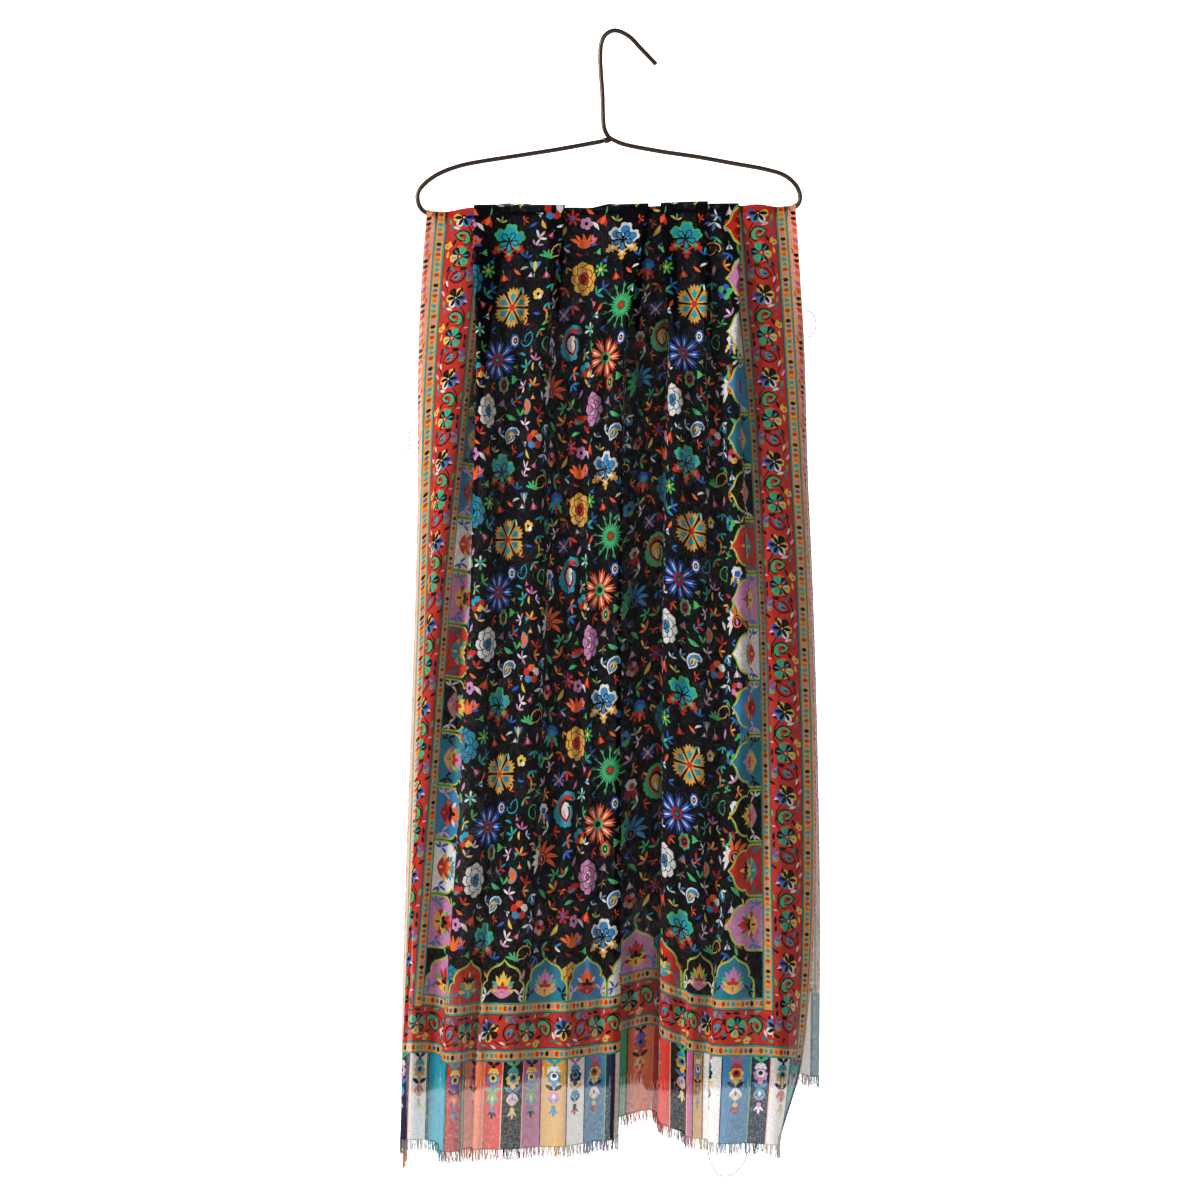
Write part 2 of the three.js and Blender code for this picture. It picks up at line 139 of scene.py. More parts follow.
BACK_CREASES = [
    (40, 480, 8, 180, 2.8, 0.03),
    (92, 300, 6, 190, -3.0, 0.02),
    (120, 690, 9, 180, -3.2, -0.04),
    (182, 330, 6, 150, 3.0, 0.05),
    (226, 520, 7, 220, 2.8, 0.02),
    (262, 560, 7, 230, -3.2, -0.03),
    (318, 240, 5, 130, 3.0, 0.04),
    (356, 560, 7, 200, -2.8, 0.03),
    (395, 760, 9, 150, 3.2, -0.05),
    (440, 300, 6, 170, 3.0, -0.02),
    (486, 400, 7, 180, -3.0, 0.03),
    (520, 720, 8, 170, -2.8, 0.02),
    (552, 640, 7, 210, 3.2, 0.04),
    (610, 420, 7, 200, -3.0, -0.03),
    (664, 350, 8, 220, -2.8, -0.02),
]


def smooth(t):
    """0 to 1 with level ends: t squared, times 3 less 2 t."""
    t = np.clip(t, 0, 1)
    return t * t * (3 - 2 * t)


def mix(a, b, t):
    """From a to b by the share t."""
    return a + (b - a) * t


def between(column, drops):
    """A column's value at each drop: it has one number a section, and a smooth (cubic) curve joins them."""
    column = np.asarray(column, float)
    last = len(SECTION_DROPS) - 1
    i = np.clip(np.searchsorted(SECTION_DROPS, drops) - 1, 0, last - 1)
    span = SECTION_DROPS[i + 1] - SECTION_DROPS[i]

    def slope(k):
        """The rise from the section before to the section after."""
        a, b = np.maximum(0, k - 1), np.minimum(last, k + 1)
        return (column[b] - column[a]) / (SECTION_DROPS[b] - SECTION_DROPS[a])

    t = (drops - SECTION_DROPS[i]) / span
    level = mix(column[i], column[i + 1], t * t * (3 - 2 * t))
    return level + span * (slope(i) * t * (1 - t) ** 2 - slope(i + 1) * t * t * (1 - t))


def hump(t, wide, ramp):
    """0 to 1 and back over the share `wide` of 0 to 1, with ramps that each take the share `ramp` of it."""
    s = (t - (1 - wide) / 2) / wide
    return smooth(s / ramp) * smooth((1 - s) / ramp)


def zone_heading(start, end, drops):
    """The cloth's heading, step by step across one zone, for each drop: the chord's direction plus a bend
    shaped like a hump, just large enough for the zone's length to fit its chord, less the turn that the bend
    gives the chord."""
    length = end[0] - start[0]
    dx = between(end[1], drops) - between(start[1], drops)
    dd = between(end[2], drops) - between(start[2], drops)
    share = np.minimum(np.hypot(dx, dd) / length, 0.995)
    turn = math.pi * PLEAT_RADIUS
    folded = max(0, (length - (end[1][0] - start[1][0]) - 2 * turn) / 2)
    opened = smooth(drops / OPEN_OVER) if start[4] else np.ones_like(drops)
    wide = mix((folded + 2 * turn) / length, 1, opened)[:, None]
    ramp = mix(turn / (folded + 2 * turn), 0.5, opened)[:, None]
    samples = hump((np.arange(80) + 0.5)[None] / 80, wide, ramp)
    low, high = np.zeros_like(drops), np.full_like(drops, 3.4)
    for _ in range(30):
        middle = (low + high) / 2
        angle = middle[:, None] * samples
        slack = np.hypot(np.cos(angle).mean(1), np.sin(angle).mean(1)) > share
        low, high = np.where(slack, middle, low), np.where(slack, high, middle)
    angle = middle[:, None] * samples
    turned = np.arctan2(np.sin(angle).mean(1), np.cos(angle).mean(1))
    steps = round(length / STEP)
    shape = hump((np.arange(steps) + 0.5)[None] / steps, wide, ramp)
    return np.arctan2(dd, dx)[:, None] + start[3] * (middle[:, None] * shape - turned[:, None])


def section_grid(stations, drops):
    """x and depth at every STEP across the cloth, a row for each drop: the smoothed heading, followed step
    by step, with what smoothing moved put back evenly between stations."""
    heading = np.hstack([zone_heading(a, b, drops) for a, b in zip(stations, stations[1:])])
    rows, count = heading.shape
    total = np.hstack([np.zeros((rows, 1)), np.cumsum(heading, 1)])
    reach = np.rint(mix(1, 16, smooth(drops / OPEN_OVER))).astype(int)[:, None]
    low = np.maximum(0, np.arange(count)[None] - reach)
    high = np.minimum(count, np.arange(count)[None] + reach + 1)
    angle = (np.take_along_axis(total, high, 1) - np.take_along_axis(total, low, 1)) / (high - low)
    fixed = []
    for column, step in ((1, STEP * np.cos(angle)), (2, STEP * np.sin(angle))):
        values = np.hstack([np.zeros((rows, 1)), np.cumsum(step, 1)])
        ends = [round(s[0] / STEP) for s in stations]
        off = np.stack([between(s[column], drops) - values[:, i] for s, i in zip(stations, ends)], 1)
        shift = np.stack([np.interp(np.arange(count + 1), ends, row) for row in off])
        fixed.append(values + shift)
    return fixed


def spline(points, params):
    """Centripetal Catmull-Rom points at params, counted in points, with the ends carried on straight."""
    p = np.vstack([2 * points[0] - points[1], points, 2 * points[-1] - points[-2]])
    i = np.clip(np.floor(params).astype(int), 0, len(points) - 2)
    t = (params - i)[:, None]
    p0, p1, p2, p3 = p[i], p[i + 1], p[i + 2], p[i + 3]
    d0, d1, d2 = (np.linalg.norm(b - a, axis=1)[:, None] ** 0.5 for a, b in ((p0, p1), (p1, p2), (p2, p3)))
    m1 = (p1 - p0) / d0 - (p2 - p0) / (d0 + d1) + (p2 - p1) / d1
    m2 = (p2 - p1) / d1 - (p3 - p1) / (d1 + d2) + (p3 - p2) / d2
    m1, m2 = m1 * d1, m2 * d1
    c2 = -3 * p1 + 3 * p2 - 2 * m1 - m2
    return p1 + m1 * t + c2 * t**2 + (2 * p1 - 2 * p2 + m1 + m2) * t**3


BAR_POINTS = spline(WIRE_ROUTE, np.linspace(BAR_START, BAR_END, 1601))


def height_on_bar(x, y, out):
    """The height at which a point at x and y is `out` from the bar's middle line: the top of such circles."""
    reach = np.maximum(0, out * out - y * y)[:, None]
    gap = np.abs(BAR_POINTS[None, :, 0] - x[:, None])
    top = BAR_POINTS[None, :, 1] + np.sqrt(np.maximum(0, reach - gap**2))
    return np.where(gap < np.sqrt(reach) + 0.6, top, -1e9).max(1)


class Fall:
    """One of the scarf's two falls. side is -1 in front of the bar and 1 behind it."""

    def __init__(self, side, drop, stations, lifts, creases):
        self.side, self.drop, self.lifts, self.creases = side, drop, lifts, creases
        rows = np.arange(0, drop + 40, ROW_STEP)
        self.x, self.depth = section_grid(stations, rows)

    def sample(self, grid, across, below):
        """A value from the grid, linear across and smooth (cubic) along."""
        a = np.clip(across / STEP, 0, grid.shape[1] - 1.001)
        b = np.clip(below / ROW_STEP, 0, grid.shape[0] - 1.001)
        i, j = np.floor(a).astype(int), np.floor(b).astype(int)
        s, t = a - i, b - j
        rows = [
            mix(grid[k, i], grid[k, i + 1], s)
            for k in (np.maximum(0, j - 1), j, j + 1, np.minimum(grid.shape[0] - 1, j + 2))
        ]
        p0, p1, p2, p3 = rows
        return p1 + 0.5 * t * (p2 - p0 + t * (2 * p0 - 5 * p1 + 4 * p2 - p3 + t * (3 * (p1 - p2) + p3 - p0)))

    def points(self, across, drop):
        """Points of the cloth: a quarter turn over the bar, then down, with creases as soft troughs and
        ridges that fade as bells across and along."""
        quarter = math.pi / 2 * BAR_RADIUS
        below = np.maximum(0, drop - quarter)
        depth = self.sample(self.depth, across, below) + BELLY * smooth(below / BELLY_OVER)
        for middle, centre, wide, long, deep, lean in self.creases:
            u = (across - middle - lean * (drop - centre)) / wide
            v = (drop - centre) / long
            depth = depth + deep * np.exp(-u * u) * np.maximum(0, 1 - v * v) ** 2
        # The side edges roll back as arcs
        turn = CURL_TURN * smooth(drop / CURL_OVER) + 1e-6
        rolled = np.maximum(0, CURL - np.minimum(across, SCARF_WIDTH - across)) / CURL
        depth = depth - CURL * (1 - np.cos(turn * rolled)) / turn
        inwards = np.where(across < SCARF_WIDTH / 2, 1, -1) * CURL * (rolled - np.sin(turn * rolled) / turn)
        out = BAR_RADIUS + (depth + np.hypot(depth, 0.4)) / 2
        angle = math.pi / 2 * np.minimum(1, np.maximum(0, drop) / quarter)
        y = out * np.sin(angle)
        start = self.sample(self.x, across, np.zeros_like(below))
        order = np.argsort(BAR_POINTS[:, 0])
        rest = np.interp(start, BAR_POINTS[order, 0], BAR_POINTS[order, 1])
        on_bar = drop < quarter
        if on_bar.any():
            rest[on_bar] = height_on_bar(start[on_bar], y[on_bar], out[on_bar])
        lift = sum(h * np.exp(-(((across - c) / wide) ** 2)) for c, h, wide in self.lifts)
        z = rest - below + lift * smooth(drop / LIFT_OVER)
        return np.stack([self.sample(self.x, across, below) + inwards, self.side * y, z], 1)


FRONT = Fall(-1, FRONT_DROP, FRONT_STATIONS, FRONT_LIFTS, FRONT_CREASES)
BACK = Fall(1, BACK_DROP, BACK_STATIONS, BACK_LIFTS, BACK_CREASES)

# Dyes

DYES = {
    "black": "0C0B10",
    "red": "C23426",
    "crimson": "A92A2E",
    "ochre": "DDA544",
    "gold": "E6BC4E",
    "teal": "239CB2",
    "petrol": "2B7F95",
    "steel": "3F87B5",
    "blue": "3660B8",
    "navy": "1E2C4A",
    "green": "4BB274",
    "lime": "62B84B",
    "white": "E6E1DC",
    "pink": "C888B2",
    "blush": "E3B6CF",
    "orange": "E8672F",
    "salmon": "EE7C4E",
    "coral": "D93D30",
    "peach": "F2A67C",
    "rosewood": "C0608F",
    "maroon": "43181F",
}
DYE_NAMES = list(DYES)


def linear(code):
    """A colour code's linear red, green and blue."""
    c = np.array([int(code[i : i + 2], 16) for i in (0, 2, 4)]) / 255
    return np.where(c <= 0.04045, c / 12.92, ((c + 0.055) / 1.055) ** 2.4)


DYE_COLOURS = np.array([[*linear(code), 1] for code in DYES.values()])

# Shapes of the pattern. Each is a list of (dye, polygon), drawn upwards from or around (0, 0).


def around(count):
    """Angles of even steps round a circle."""
    return np.arange(count) * 2 * math.pi / count


def disc(rx, ry, sides=10, lobes=0, bite=0.0):
    """An ellipse whose radius is cut by `bite` between lobes."""
    a = around(lobes * 3 if lobes else sides)
    r = 1 - bite * (1 - np.abs(np.sin(a * lobes / 2))) ** 2 if lobes else 1
    return np.stack([rx * r * np.sin(a), ry * r * np.cos(a)], 1)


def leaf(length, width, bend=0.0, full=0.5):
    """Two curved sides that meet in points at (0, 0) and (0, length), widest at the share `full`."""
    t = np.array([0.24, 0.52, 0.8] if length > 10 else [0.34, 0.74])
    half = width / 2 * np.sin(math.pi * t ** (math.log(0.5) / math.log(full)))
    spine = bend * np.sin(math.pi * t)
    left = np.stack([spine - half, t * length], 1)
    right = np.stack([spine + half, t * length], 1)[::-1]
    return np.vstack([[(0, 0)], left, [(0, length)], right])


def serrated(length, width, teeth):
    """A leaf with saw teeth on both sides."""
    t = (np.arange(teeth * 2) + 1) / (teeth * 2 + 1)
    half = width / 2 * np.sin(math.pi * t) ** 0.7 * np.where(np.arange(teeth * 2) % 2, 1, 0.5)
    left = np.stack([-half, t * length], 1)
    right = np.stack([half, t * length], 1)[::-1]
    return np.vstack([[(0, 0)], left, [(0, length)], right])


def stroke(points, width):
    """A line through the points, tapered to its ends."""
    p = np.asarray(points, float)
    along = np.gradient(p, axis=0)
    side = np.stack([-along[:, 1], along[:, 0]], 1) / np.linalg.norm(along, axis=1)[:, None]
    half = width / 2 * np.interp(np.linspace(0, 1, len(p)), [0, 0.2, 0.8, 1], [0.4, 1, 1, 0.4])[:, None]
    return np.vstack([p + side * half, (p - side * half)[::-1]])


def arc(cx, cy, r, start, end, count):
    """Points on part of a circle about (cx, cy), by degrees clockwise from straight up."""
    a = np.radians(np.linspace(start, end, count))
    return np.stack([cx + r * np.sin(a), cy + r * np.cos(a)], 1)


PAISLEY_SPINE = np.array(
    [(0, -0.2), (-0.03, 0.02), (-0.01, 0.22), (0.07, 0.38), (0.21, 0.47), (0.35, 0.42), (0.39, 0.28)]
)
PAISLEY_HALF = np.array([0.22, 0.3, 0.285, 0.215, 0.15, 0.11, 0.05])


def drop_shape(size, hook=1.0, grow=0.0):
    """A paisley: a round belly at the bottom whose tip hooks over to the right, `grow` wider all round."""
    spine = PAISLEY_SPINE * (size * hook, size)
    half = (size * PAISLEY_HALF + grow)[:, None]
    along = np.gradient(spine, axis=0)
    side = np.stack([-along[:, 1], along[:, 0]], 1) / np.linalg.norm(along, axis=1)[:, None]
    return np.vstack([[(0, -size * 0.42 - grow)], spine + side * half, (spine - side * half)[::-1]])


def turned(shape, angle=0.0, scale=1.0, x=0.0, y=0.0, flip=1):
    """The shape scaled, turned clockwise by angle degrees and moved. A flip of -1 mirrors it first."""
    a = math.radians(angle)
    spin = np.array([[math.cos(a), -math.sin(a)], [math.sin(a), math.cos(a)]]) * scale
    return [(dye, (p * (flip, 1)) @ spin + (x, y)) for dye, p in shape]


def ring_of(shape, count, radius=0.0, start=0.0):
    """The shape repeated around (0, 0), moved out by radius."""
    moved = turned(shape, y=radius)
    return [q for k in range(count) for q in turned(moved, start + 360 * k / count)]


def rose(outer, inner, heart):
    """Cabbage rose, an upright oval: rings of round petals, each edged in black and lapping over the last."""
    shape = []
    for dye, count, reach, size in ((outer, 8, 10.4, 5.4), (outer, 5, 6.2, 4.5), (inner, 3, 2.6, 3.3)):
        for k in range(count):
            angle = 2 * math.pi * k / count + 0.2 * count
            place = (reach * 0.74 * math.sin(angle), reach * math.cos(angle))
            shape.append(("black", disc(size + 0.7, size + 0.7, 7) + place))
            shape.append((dye, disc(size, size, 7) + place))
    return shape + [("black", disc(2.6, 3.2, 8)), (heart, disc(1.6, 2.2, 7))]


def pinwheel(outer, inner, heart):
    """Six fans with saw-toothed rims around a small heart."""
    fan = [(-0.7, 2.5), (-5.2, 11), (-6.6, 15), (-4.4, 14.2), (-3.4, 18), (-1.3, 15.4), (0, 19)]
    fan = np.array(fan + [(-x, y) for x, y in fan[-2::-1]])
    core = [(-0.4, 5), (-3.4, 11.4), (-1.8, 11.2), (0, 14.2)]
    core = np.array(core + [(-x, y) for x, y in core[-2::-1]])
    return ring_of([(outer, fan), (inner, core)], 6) + [(heart, disc(4, 4, lobes=6, bite=0.5))]


def radial(ray, tip, heart):
    """Fine rays, long and short, that fork at the end, around a small heart."""
    long = [(ray, leaf(15, 1.8)), (tip, leaf(6, 1.5) + (0, 13))]
    fork = [(tip, leaf(5, 1.3) @ np.array([[0.9, -0.42], [0.42, 0.9]]) + (0, 12.5))]
    short = [(ray, leaf(9, 2.2))]
    shape = ring_of(long + fork, 13, 3) + ring_of(short, 13, 3, 14)
    return shape + [(heart, disc(3.2, 3.2, lobes=7, bite=0.35))]


def star(petal, streak, ring, heart):
    """Forked petals with pale streaks around a scalloped ring and a round heart."""
    fork = [(-0.9, 4), (-2.9, 10), (-3.2, 18), (-1.2, 14), (0, 19.5)]
    fork = np.array(fork + [(-x, y) for x, y in fork[-2::-1]])
    shape = ring_of([(petal, fork), (streak, leaf(9, 1.7) + (0, 6))], 9)
    shape.append((ring, disc(6, 6, lobes=8, bite=0.25)))
    return shape + [("black", disc(2.9, 2.9, 8)), (heart, disc(2.1, 2.1, 7))]


def layered(lobe, rim, saw, petal):
    """Round lobes on one side and saw-toothed ones on the other, behind five dark-edged heart petals."""
    round_lobe = [(rim, disc(7.5, 7.5, lobes=5, bite=0.2) + (0, 12)), (lobe, disc(5, 5, 8) + (0, 11))]
    saw_lobe = [(saw, serrated(20, 12, 4) + (0, 2)), (rim, serrated(13, 7, 3) + (0, 3))]
    shape = []
    for k, a in enumerate((-62, -5, 55)):
        shape += turned(round_lobe, a, 1.0 if k != 1 else 1.08)
    for a in (112, 165, 222):
        shape += turned(saw_lobe, a)
    heart = [("black", leaf(11.6, 8, full=0.64)), (petal, leaf(9.4, 5.6, full=0.64) + (0, 1.2))]
    return turned(shape + ring_of(heart, 5, 0.4, 20), 0, 0.84)


def lotus(near, far, eye):
    """A half flower: long curled petals, pale on one side and bright on the other, around a curled eye."""
    shape = []
    for k, a in enumerate((-128, -98, -68, -36)):
        shape += turned([(near, leaf(17 - k, 5, 2.2 - k * 0.6, 0.62))], a, x=-1)
    for k, a in enumerate((-4, 28, 60, 94, 128)):
        shape += turned([(far, leaf(18 - abs(k - 2), 4.4, -2.0, 0.6))], a, x=1)
    shape += [("black", disc(6.4, 6.4, 10)), (far, disc(5.4, 5.4, 10)), ("black", disc(3.9, 3.9, 8))]
    return shape + [(eye, leaf(6.4, 3.4) + (0, -3.2))]


def anemone(petals, heart="black", eye=None, size=1.0):
    """Five round petals, whose dyes take turns, around a small heart."""
    shape = []
    for k in range(5):
        dye = petals[k % len(petals)]
        shape += turned([(dye, disc(4.1, 4.6, lobes=3, bite=0.15) + (0, 5))], 72 * k)
    shape.append((heart, disc(2.7, 2.7, 8)))
    if eye:
        shape.append((eye, disc(1.2, 1.2, 6)))
    return turned(shape, 0, size)


def daisy(petal, other, heart, count=8, size=1.0):
    """Narrow petals in two dyes around a small heart."""
    shape = []
    for k in range(count):
        shape += turned([((petal, other)[k % 2], leaf(8, 3.2, 0, 0.65))], 360 * k / count)
    return turned(shape + [(heart, disc(2.2, 2.2, 7))], 0, size)


def tulip(side, middle):
    """Two bent outer petals and a middle one on a short green stem."""
    shape = turned([(side, leaf(12, 5, 1.6, 0.6))], -28) + turned([(side, leaf(12, 5, -1.6, 0.6))], 28)
    return shape + [(middle, leaf(11, 4.6, 0, 0.6)), ("green", leaf(5, 1.6) - (0, 5))]


def sprig(dyes, leaves=3, length=9.0, spread=58):
    """Pointed leaves that fan out from one point."""
    shape = []
    for k in range(leaves):
        angle = spread * (k - (leaves - 1) / 2)
        shape += turned([(dyes[k % len(dyes)], leaf(length, length * 0.34, 0.6, 0.55))], angle)
    return shape


def thistle(cap, cup, tails):
    """A hanging head: a round cap over pointed tails."""
    shape = []
    for k, a in enumerate((140, 162, 184, 208)):
        shape += turned([(tails[k % len(tails)], serrated(15, 5, 3))], a)
    shape.append((cap, disc(6.6, 5.6, lobes=6, bite=0.16)))
    return shape + [(cup, disc(3.6, 3.4, lobes=4, bite=0.2) + (1, -1.6))]


def paisley(line, ground, core, size=16.0, rim=1.3):
    """Hooked teardrops inside each other: a coloured line around a plain ground, with a small core."""
    shape = [(line, drop_shape(size, grow=rim)), (ground, drop_shape(size))]
    if core:
        shape.append((core, drop_shape(size * 0.55)))
        shape.append(("black", leaf(size * 0.34, size * 0.12) - (0.4, size * 0.2)))
    return shape


def great_paisley(a, b, c, d):
    """A large hooked teardrop in four dyes, scalloped along its back."""
    shape = [(a, disc(3.0, 3.0, 7) + p) for p in arc(-1, -1, 9.6, 165, 345, 8)]
    shape += [(a, drop_shape(29, 1.1, 0.6)), (b, drop_shape(27, 1.1, -1.4)), ("black", drop_shape(19, 0.9))]
    return shape + [(c, drop_shape(15, 0.8)), (d, leaf(9, 2.6) - (0.8, 6))]


def fern(dyes, count=5):
    """Leaves in turn on both sides of a bent stem."""
    stem = arc(-10, 0, 12, 50, 130, 6)
    shape = [(dyes[0], stroke(stem, 1.2))]
    for k in range(count):
        angle = 100 - 14 * k if k % 2 else 22 * k - 60
        shape += turned([(dyes[k % len(dyes)], leaf(7, 2.8, 0.5))], angle, 1, *stem[k + 1])
    return shape


def hand(palm, stripe):
    """A cupped leaf with five finger-like points."""
    shape = [(palm, disc(7, 4.6, 9))]
    for k, a in enumerate((-62, -34, -6, 22, 52)):
        shape += turned([(palm, leaf(10.5, 3.6, 0.8))], a, 1, -5 + 2.5 * k, 0)
    return shape + [(stripe, leaf(9, 3.2) @ np.array([[0, -1], [1, 0]]) + (4.5, -0.6))]


def shield(rim, field, eye, size=1.0):
    """A scalloped oval rim around a plain one, with a dark heart and an eye."""
    shape = [(rim, disc(6.2, 8.4, lobes=7, bite=0.18)), (field, disc(4.2, 6, 8))]
    return turned(shape + [("black", disc(2.6, 3.8, 7)), (eye, disc(1.1, 1.8, 6))], 0, size)


# The field's repeat, three arches wide, in two colourings that take turns across

TILE_W, TILE_H = 166.8, 249.0
TILE_AT = (34.0, 187.0)  # where one repeat starts, in flat coordinates


def tile(k):
    """One repeat, with (0, 0) at its top left corner and y downwards; k picks the colouring."""

    def pick(a, b):
        """a in the first colouring and b in the second."""
        return b if k % 2 else a

    lobes = pick(("teal", "green", "red", "teal"), ("steel", "white", "ochre", "steel"))
    hooks = pick(("green", "red", "ochre", "white"), ("teal", "red", "white", "pink"))
    heads = pick(("white", "red", ("red", "crimson")), ("white", "blue", ("blue", "gold")))
    petals = pick(("red", "teal", "orange", "white", "red"), ("orange", "white", "red", "steel", "red"))
    crescent = [("green", stroke(arc(0, 0, 8, -70, 110, 7), 3.2))]
    crescent += turned(sprig(("blue", "orange", "gold"), 3, 8), 90, 1, 3, 0)
    big = [  # x, y, angle, shape
        (118, 34, 0, rose(*pick(("white", "steel", "petrol"), ("pink", "blush", "rosewood")))),
        (52, 14, -10, lotus(*pick(("green", "steel", "red"), ("white", "orange", "pink")))),
        (140, 100, 12, layered(*lobes)),
        (96, 141, -8, rose(*pick(("petrol", "teal", "navy"), ("ochre", "red", "crimson")))),
        (149, 172, 0, pick(pinwheel("ochre", "teal", "red"), radial("green", "green", "red"))),
        (134, 228, 9, star(*pick(("blue", "white", "red", "teal"), ("orange", "white", "green", "black")))),
        (82, 214, -14, great_paisley(*hooks)),
        (62, 128, 18, thistle("blue", "teal", pick(("red", "orange"), ("green", "red", "teal")))),
    ]
    middle = [
        (20, 66, 0, anemone(petals)),
        (52, 86, 30, anemone(("pink", "red", "ochre", "pink", "red"), size=0.82)),
        (143, 6, 0, shield(*pick(("green", "red", "blue"), ("red", "green", "gold")))),
        (86, 48, 70, [("red", serrated(17, 10, 4)), ("teal", serrated(10, 4, 3) + (2, 1))]),
        (82, 74, 0, daisy("red", "crimson", "blue", 7)),
        (97, 80, 20, anemone(("pink",), size=0.7)),
        (95, 103, 0, hand("orange", "blue")),
        (43, 158, 15, anemone(pick(("steel", "steel", "green"), ("blue", "green", "green")), size=0.85)),
        (28, 112, 48, paisley("ochre", "black", None, 15)),
        (17, 118, 10, sprig(("green", "green"), 5, 8, 40)),
        (118, 132, 0, daisy("green", "lime", "gold", 7, 0.95)),
        (5, 134, 0, tulip("steel", "gold")),
        (72, 180, 0, daisy("blue", "pink", "gold", 8, 0.95)),
        (24, 184, 10, fern(("orange", "green", "ochre"))),
        (5, 205, 200, paisley("teal", "black", None, 13)),
        (30, 214, -20, paisley("green", "black", None, 12)),
        (52, 210, 8, thistle(*heads)),
        (106, 196, 0, daisy("white", "green", "teal", 6, 0.9)),
        (103, 240, 0, anemone(("teal", "red", "gold", "red", "teal"), "black", "red", 0.85)),
        (38, 243, 120, crescent),
        (152, 62, 25, paisley("white", "steel", "gold", 15, 1.6)),
        (8, 28, 160, paisley("teal", "orange", None, 13)),
        (155, 208, 0, shield("blue", "white", "gold", 0.8)),
        (118, 70, 200, tulip("red", "orange")),
        (12, 158, 0, anemone(("gold", "gold", "white"), size=0.62)),
    ]
    small = [  # x, y, angle, leaves, length, dyes
        (24, 38, 20, 3, 9, ("red", "crimson")),
        (34, 50, 150, 3, 9, ("white", "white", "teal")),
        (40, 62, -30, 2, 9, ("teal", "steel")),
        (66, 66, 40, 3, 8, ("gold", "red")),
        (70, 32, -60, 4, 8, ("green", "green")),
        (92, 22, 30, 1, 11, ("pink",)),
        (96, 64, 120, 1, 10, ("orange",)),
        (104, 58, 30, 3, 8, ("red", "red", "orange")),
        (112, 88, -40, 1, 12, ("white",)),
        (104, 92, 160, 1, 10, ("pink",)),
        (130, 78, 10, 3, 7, ("gold", "green")),
        (164, 40, 0, 2, 9, ("green", "lime")),
        (160, 84, 60, 1, 10, ("blue",)),
        (36, 98, 200, 3, 8, ("green", "green", "teal")),
        (72, 106, 100, 2, 9, ("steel", "white")),
        (6, 96, 40, 3, 9, ("white", "blush")),
        (76, 152, 220, 3, 9, ("orange", "red")),
        (30, 140, 10, 1, 11, ("pink",)),
        (26, 168, 160, 3, 8, ("teal", "green")),
        (58, 158, -20, 3, 9, ("gold", "teal")),
        (122, 152, 60, 3, 8, ("blue", "steel")),
        (84, 170, 180, 3, 10, ("red", "red", "steel")),
        (118, 178, 30, 1, 10, ("orange",)),
        (50, 184, -40, 3, 9, ("pink", "white")),
        (92, 190, 30, 1, 11, ("pink",)),
        (8, 178, 100, 1, 9, ("blue",)),
        (66, 200, 150, 2, 8, ("gold", "red")),
        (16, 230, 10, 3, 8, ("pink", "rosewood")),
        (60, 232, -70, 3, 9, ("white", "green")),
        (108, 216, 60, 3, 8, ("green", "lime", "green")),
        (112, 248, 20, 3, 8, ("white", "blush")),
        (16, 8, 20, 3, 9, ("orange", "gold")),
        (30, 24, -20, 1, 10, ("white",)),
        (84, 6, 140, 3, 9, ("steel", "blue")),
        (104, 8, 30, 3, 8, ("gold", "blue", "gold")),
        (158, 22, 60, 3, 8, ("red", "teal")),
        (160, 150, 200, 2, 8, ("white", "green")),
        (164, 190, 30, 3, 7, ("red", "gold")),
        (148, 130, 130, 1, 10, ("orange",)),
        (50, 236, 200, 2, 9, ("red", "crimson")),
        (160, 118, 10, 3, 8, ("blue", "teal")),
        (76, 128, 150, 2, 7, ("gold", "ochre")),
        (44, 36, 90, 2, 7, ("blue", "steel")),
        (124, 196, 90, 2, 7, ("steel", "blue")),
    ]
    shapes = [turned(sprig(dyes, n, 1.1 * length), angle, 1, x, -y) for x, y, angle, n, length, dyes in small]
    shapes += [turned(shape, angle, 1.15, x, -y) for x, y, angle, shape in middle]
    shapes += [turned(shape, angle, 1.2, x, -y) for x, y, angle, shape in big]
    return [(dye, p * (1, -1)) for shape in shapes for dye, p in shape]


# Two dyes for each small shape that fills a gap
FILLERS = [
    ("gold", "teal"), ("red", "orange"), ("green", "lime"), ("white", "steel"), ("blue", "steel"),
    ("pink", "white"), ("orange", "gold"), ("teal", "green"), ("crimson", "pink"), ("green", "red"),
    ("steel", "orange"),
]


def filled(tiles):
    """The tiles with small leaves, sprigs and buds added where there is room, the same places in both."""
    rng = np.random.default_rng(11)
    taken = np.vstack([p for shape in tiles for _, p in shape])
    size = np.array([TILE_W, TILE_H])
    added = []
    for room, length in ((9.6, 10.5), (7.6, 8.4), (6.0, 6.6)):
        for place in rng.uniform(0, 1, (1500, 2)) * size:
            gap = np.abs((taken - place + size / 2) % size - size / 2)
            if (gap * gap).sum(1).min() < room * room:
                continue
            dyes = FILLERS[rng.integers(len(FILLERS))]
            kind, angle = rng.integers(4), rng.uniform(0, 360)
            if kind == 0:
                shape = turned(sprig(dyes, 3, length), angle, 1, 0, -length * 0.2)
            elif kind == 1:
                shape = turned([(dyes[0], leaf(length * 1.5, length * 0.5, 1.2))], angle)
                shape = [(dye, p - p.mean(0)) for dye, p in shape]
            elif kind == 2:
                shape = turned(sprig(dyes, 4, length * 0.9, 62), angle)
            else:
                shape = turned(tulip(dyes[0], dyes[1]), angle, length / 13, 0, -length * 0.2)
            shape = [(dye, p + place) for dye, p in shape]
            added += shape
            taken = np.vstack([taken, *(p for _, p in shape)])
    return [shape + added for shape in tiles]


# Borders. Along a band, x runs with the band and y from its outer side inwards.

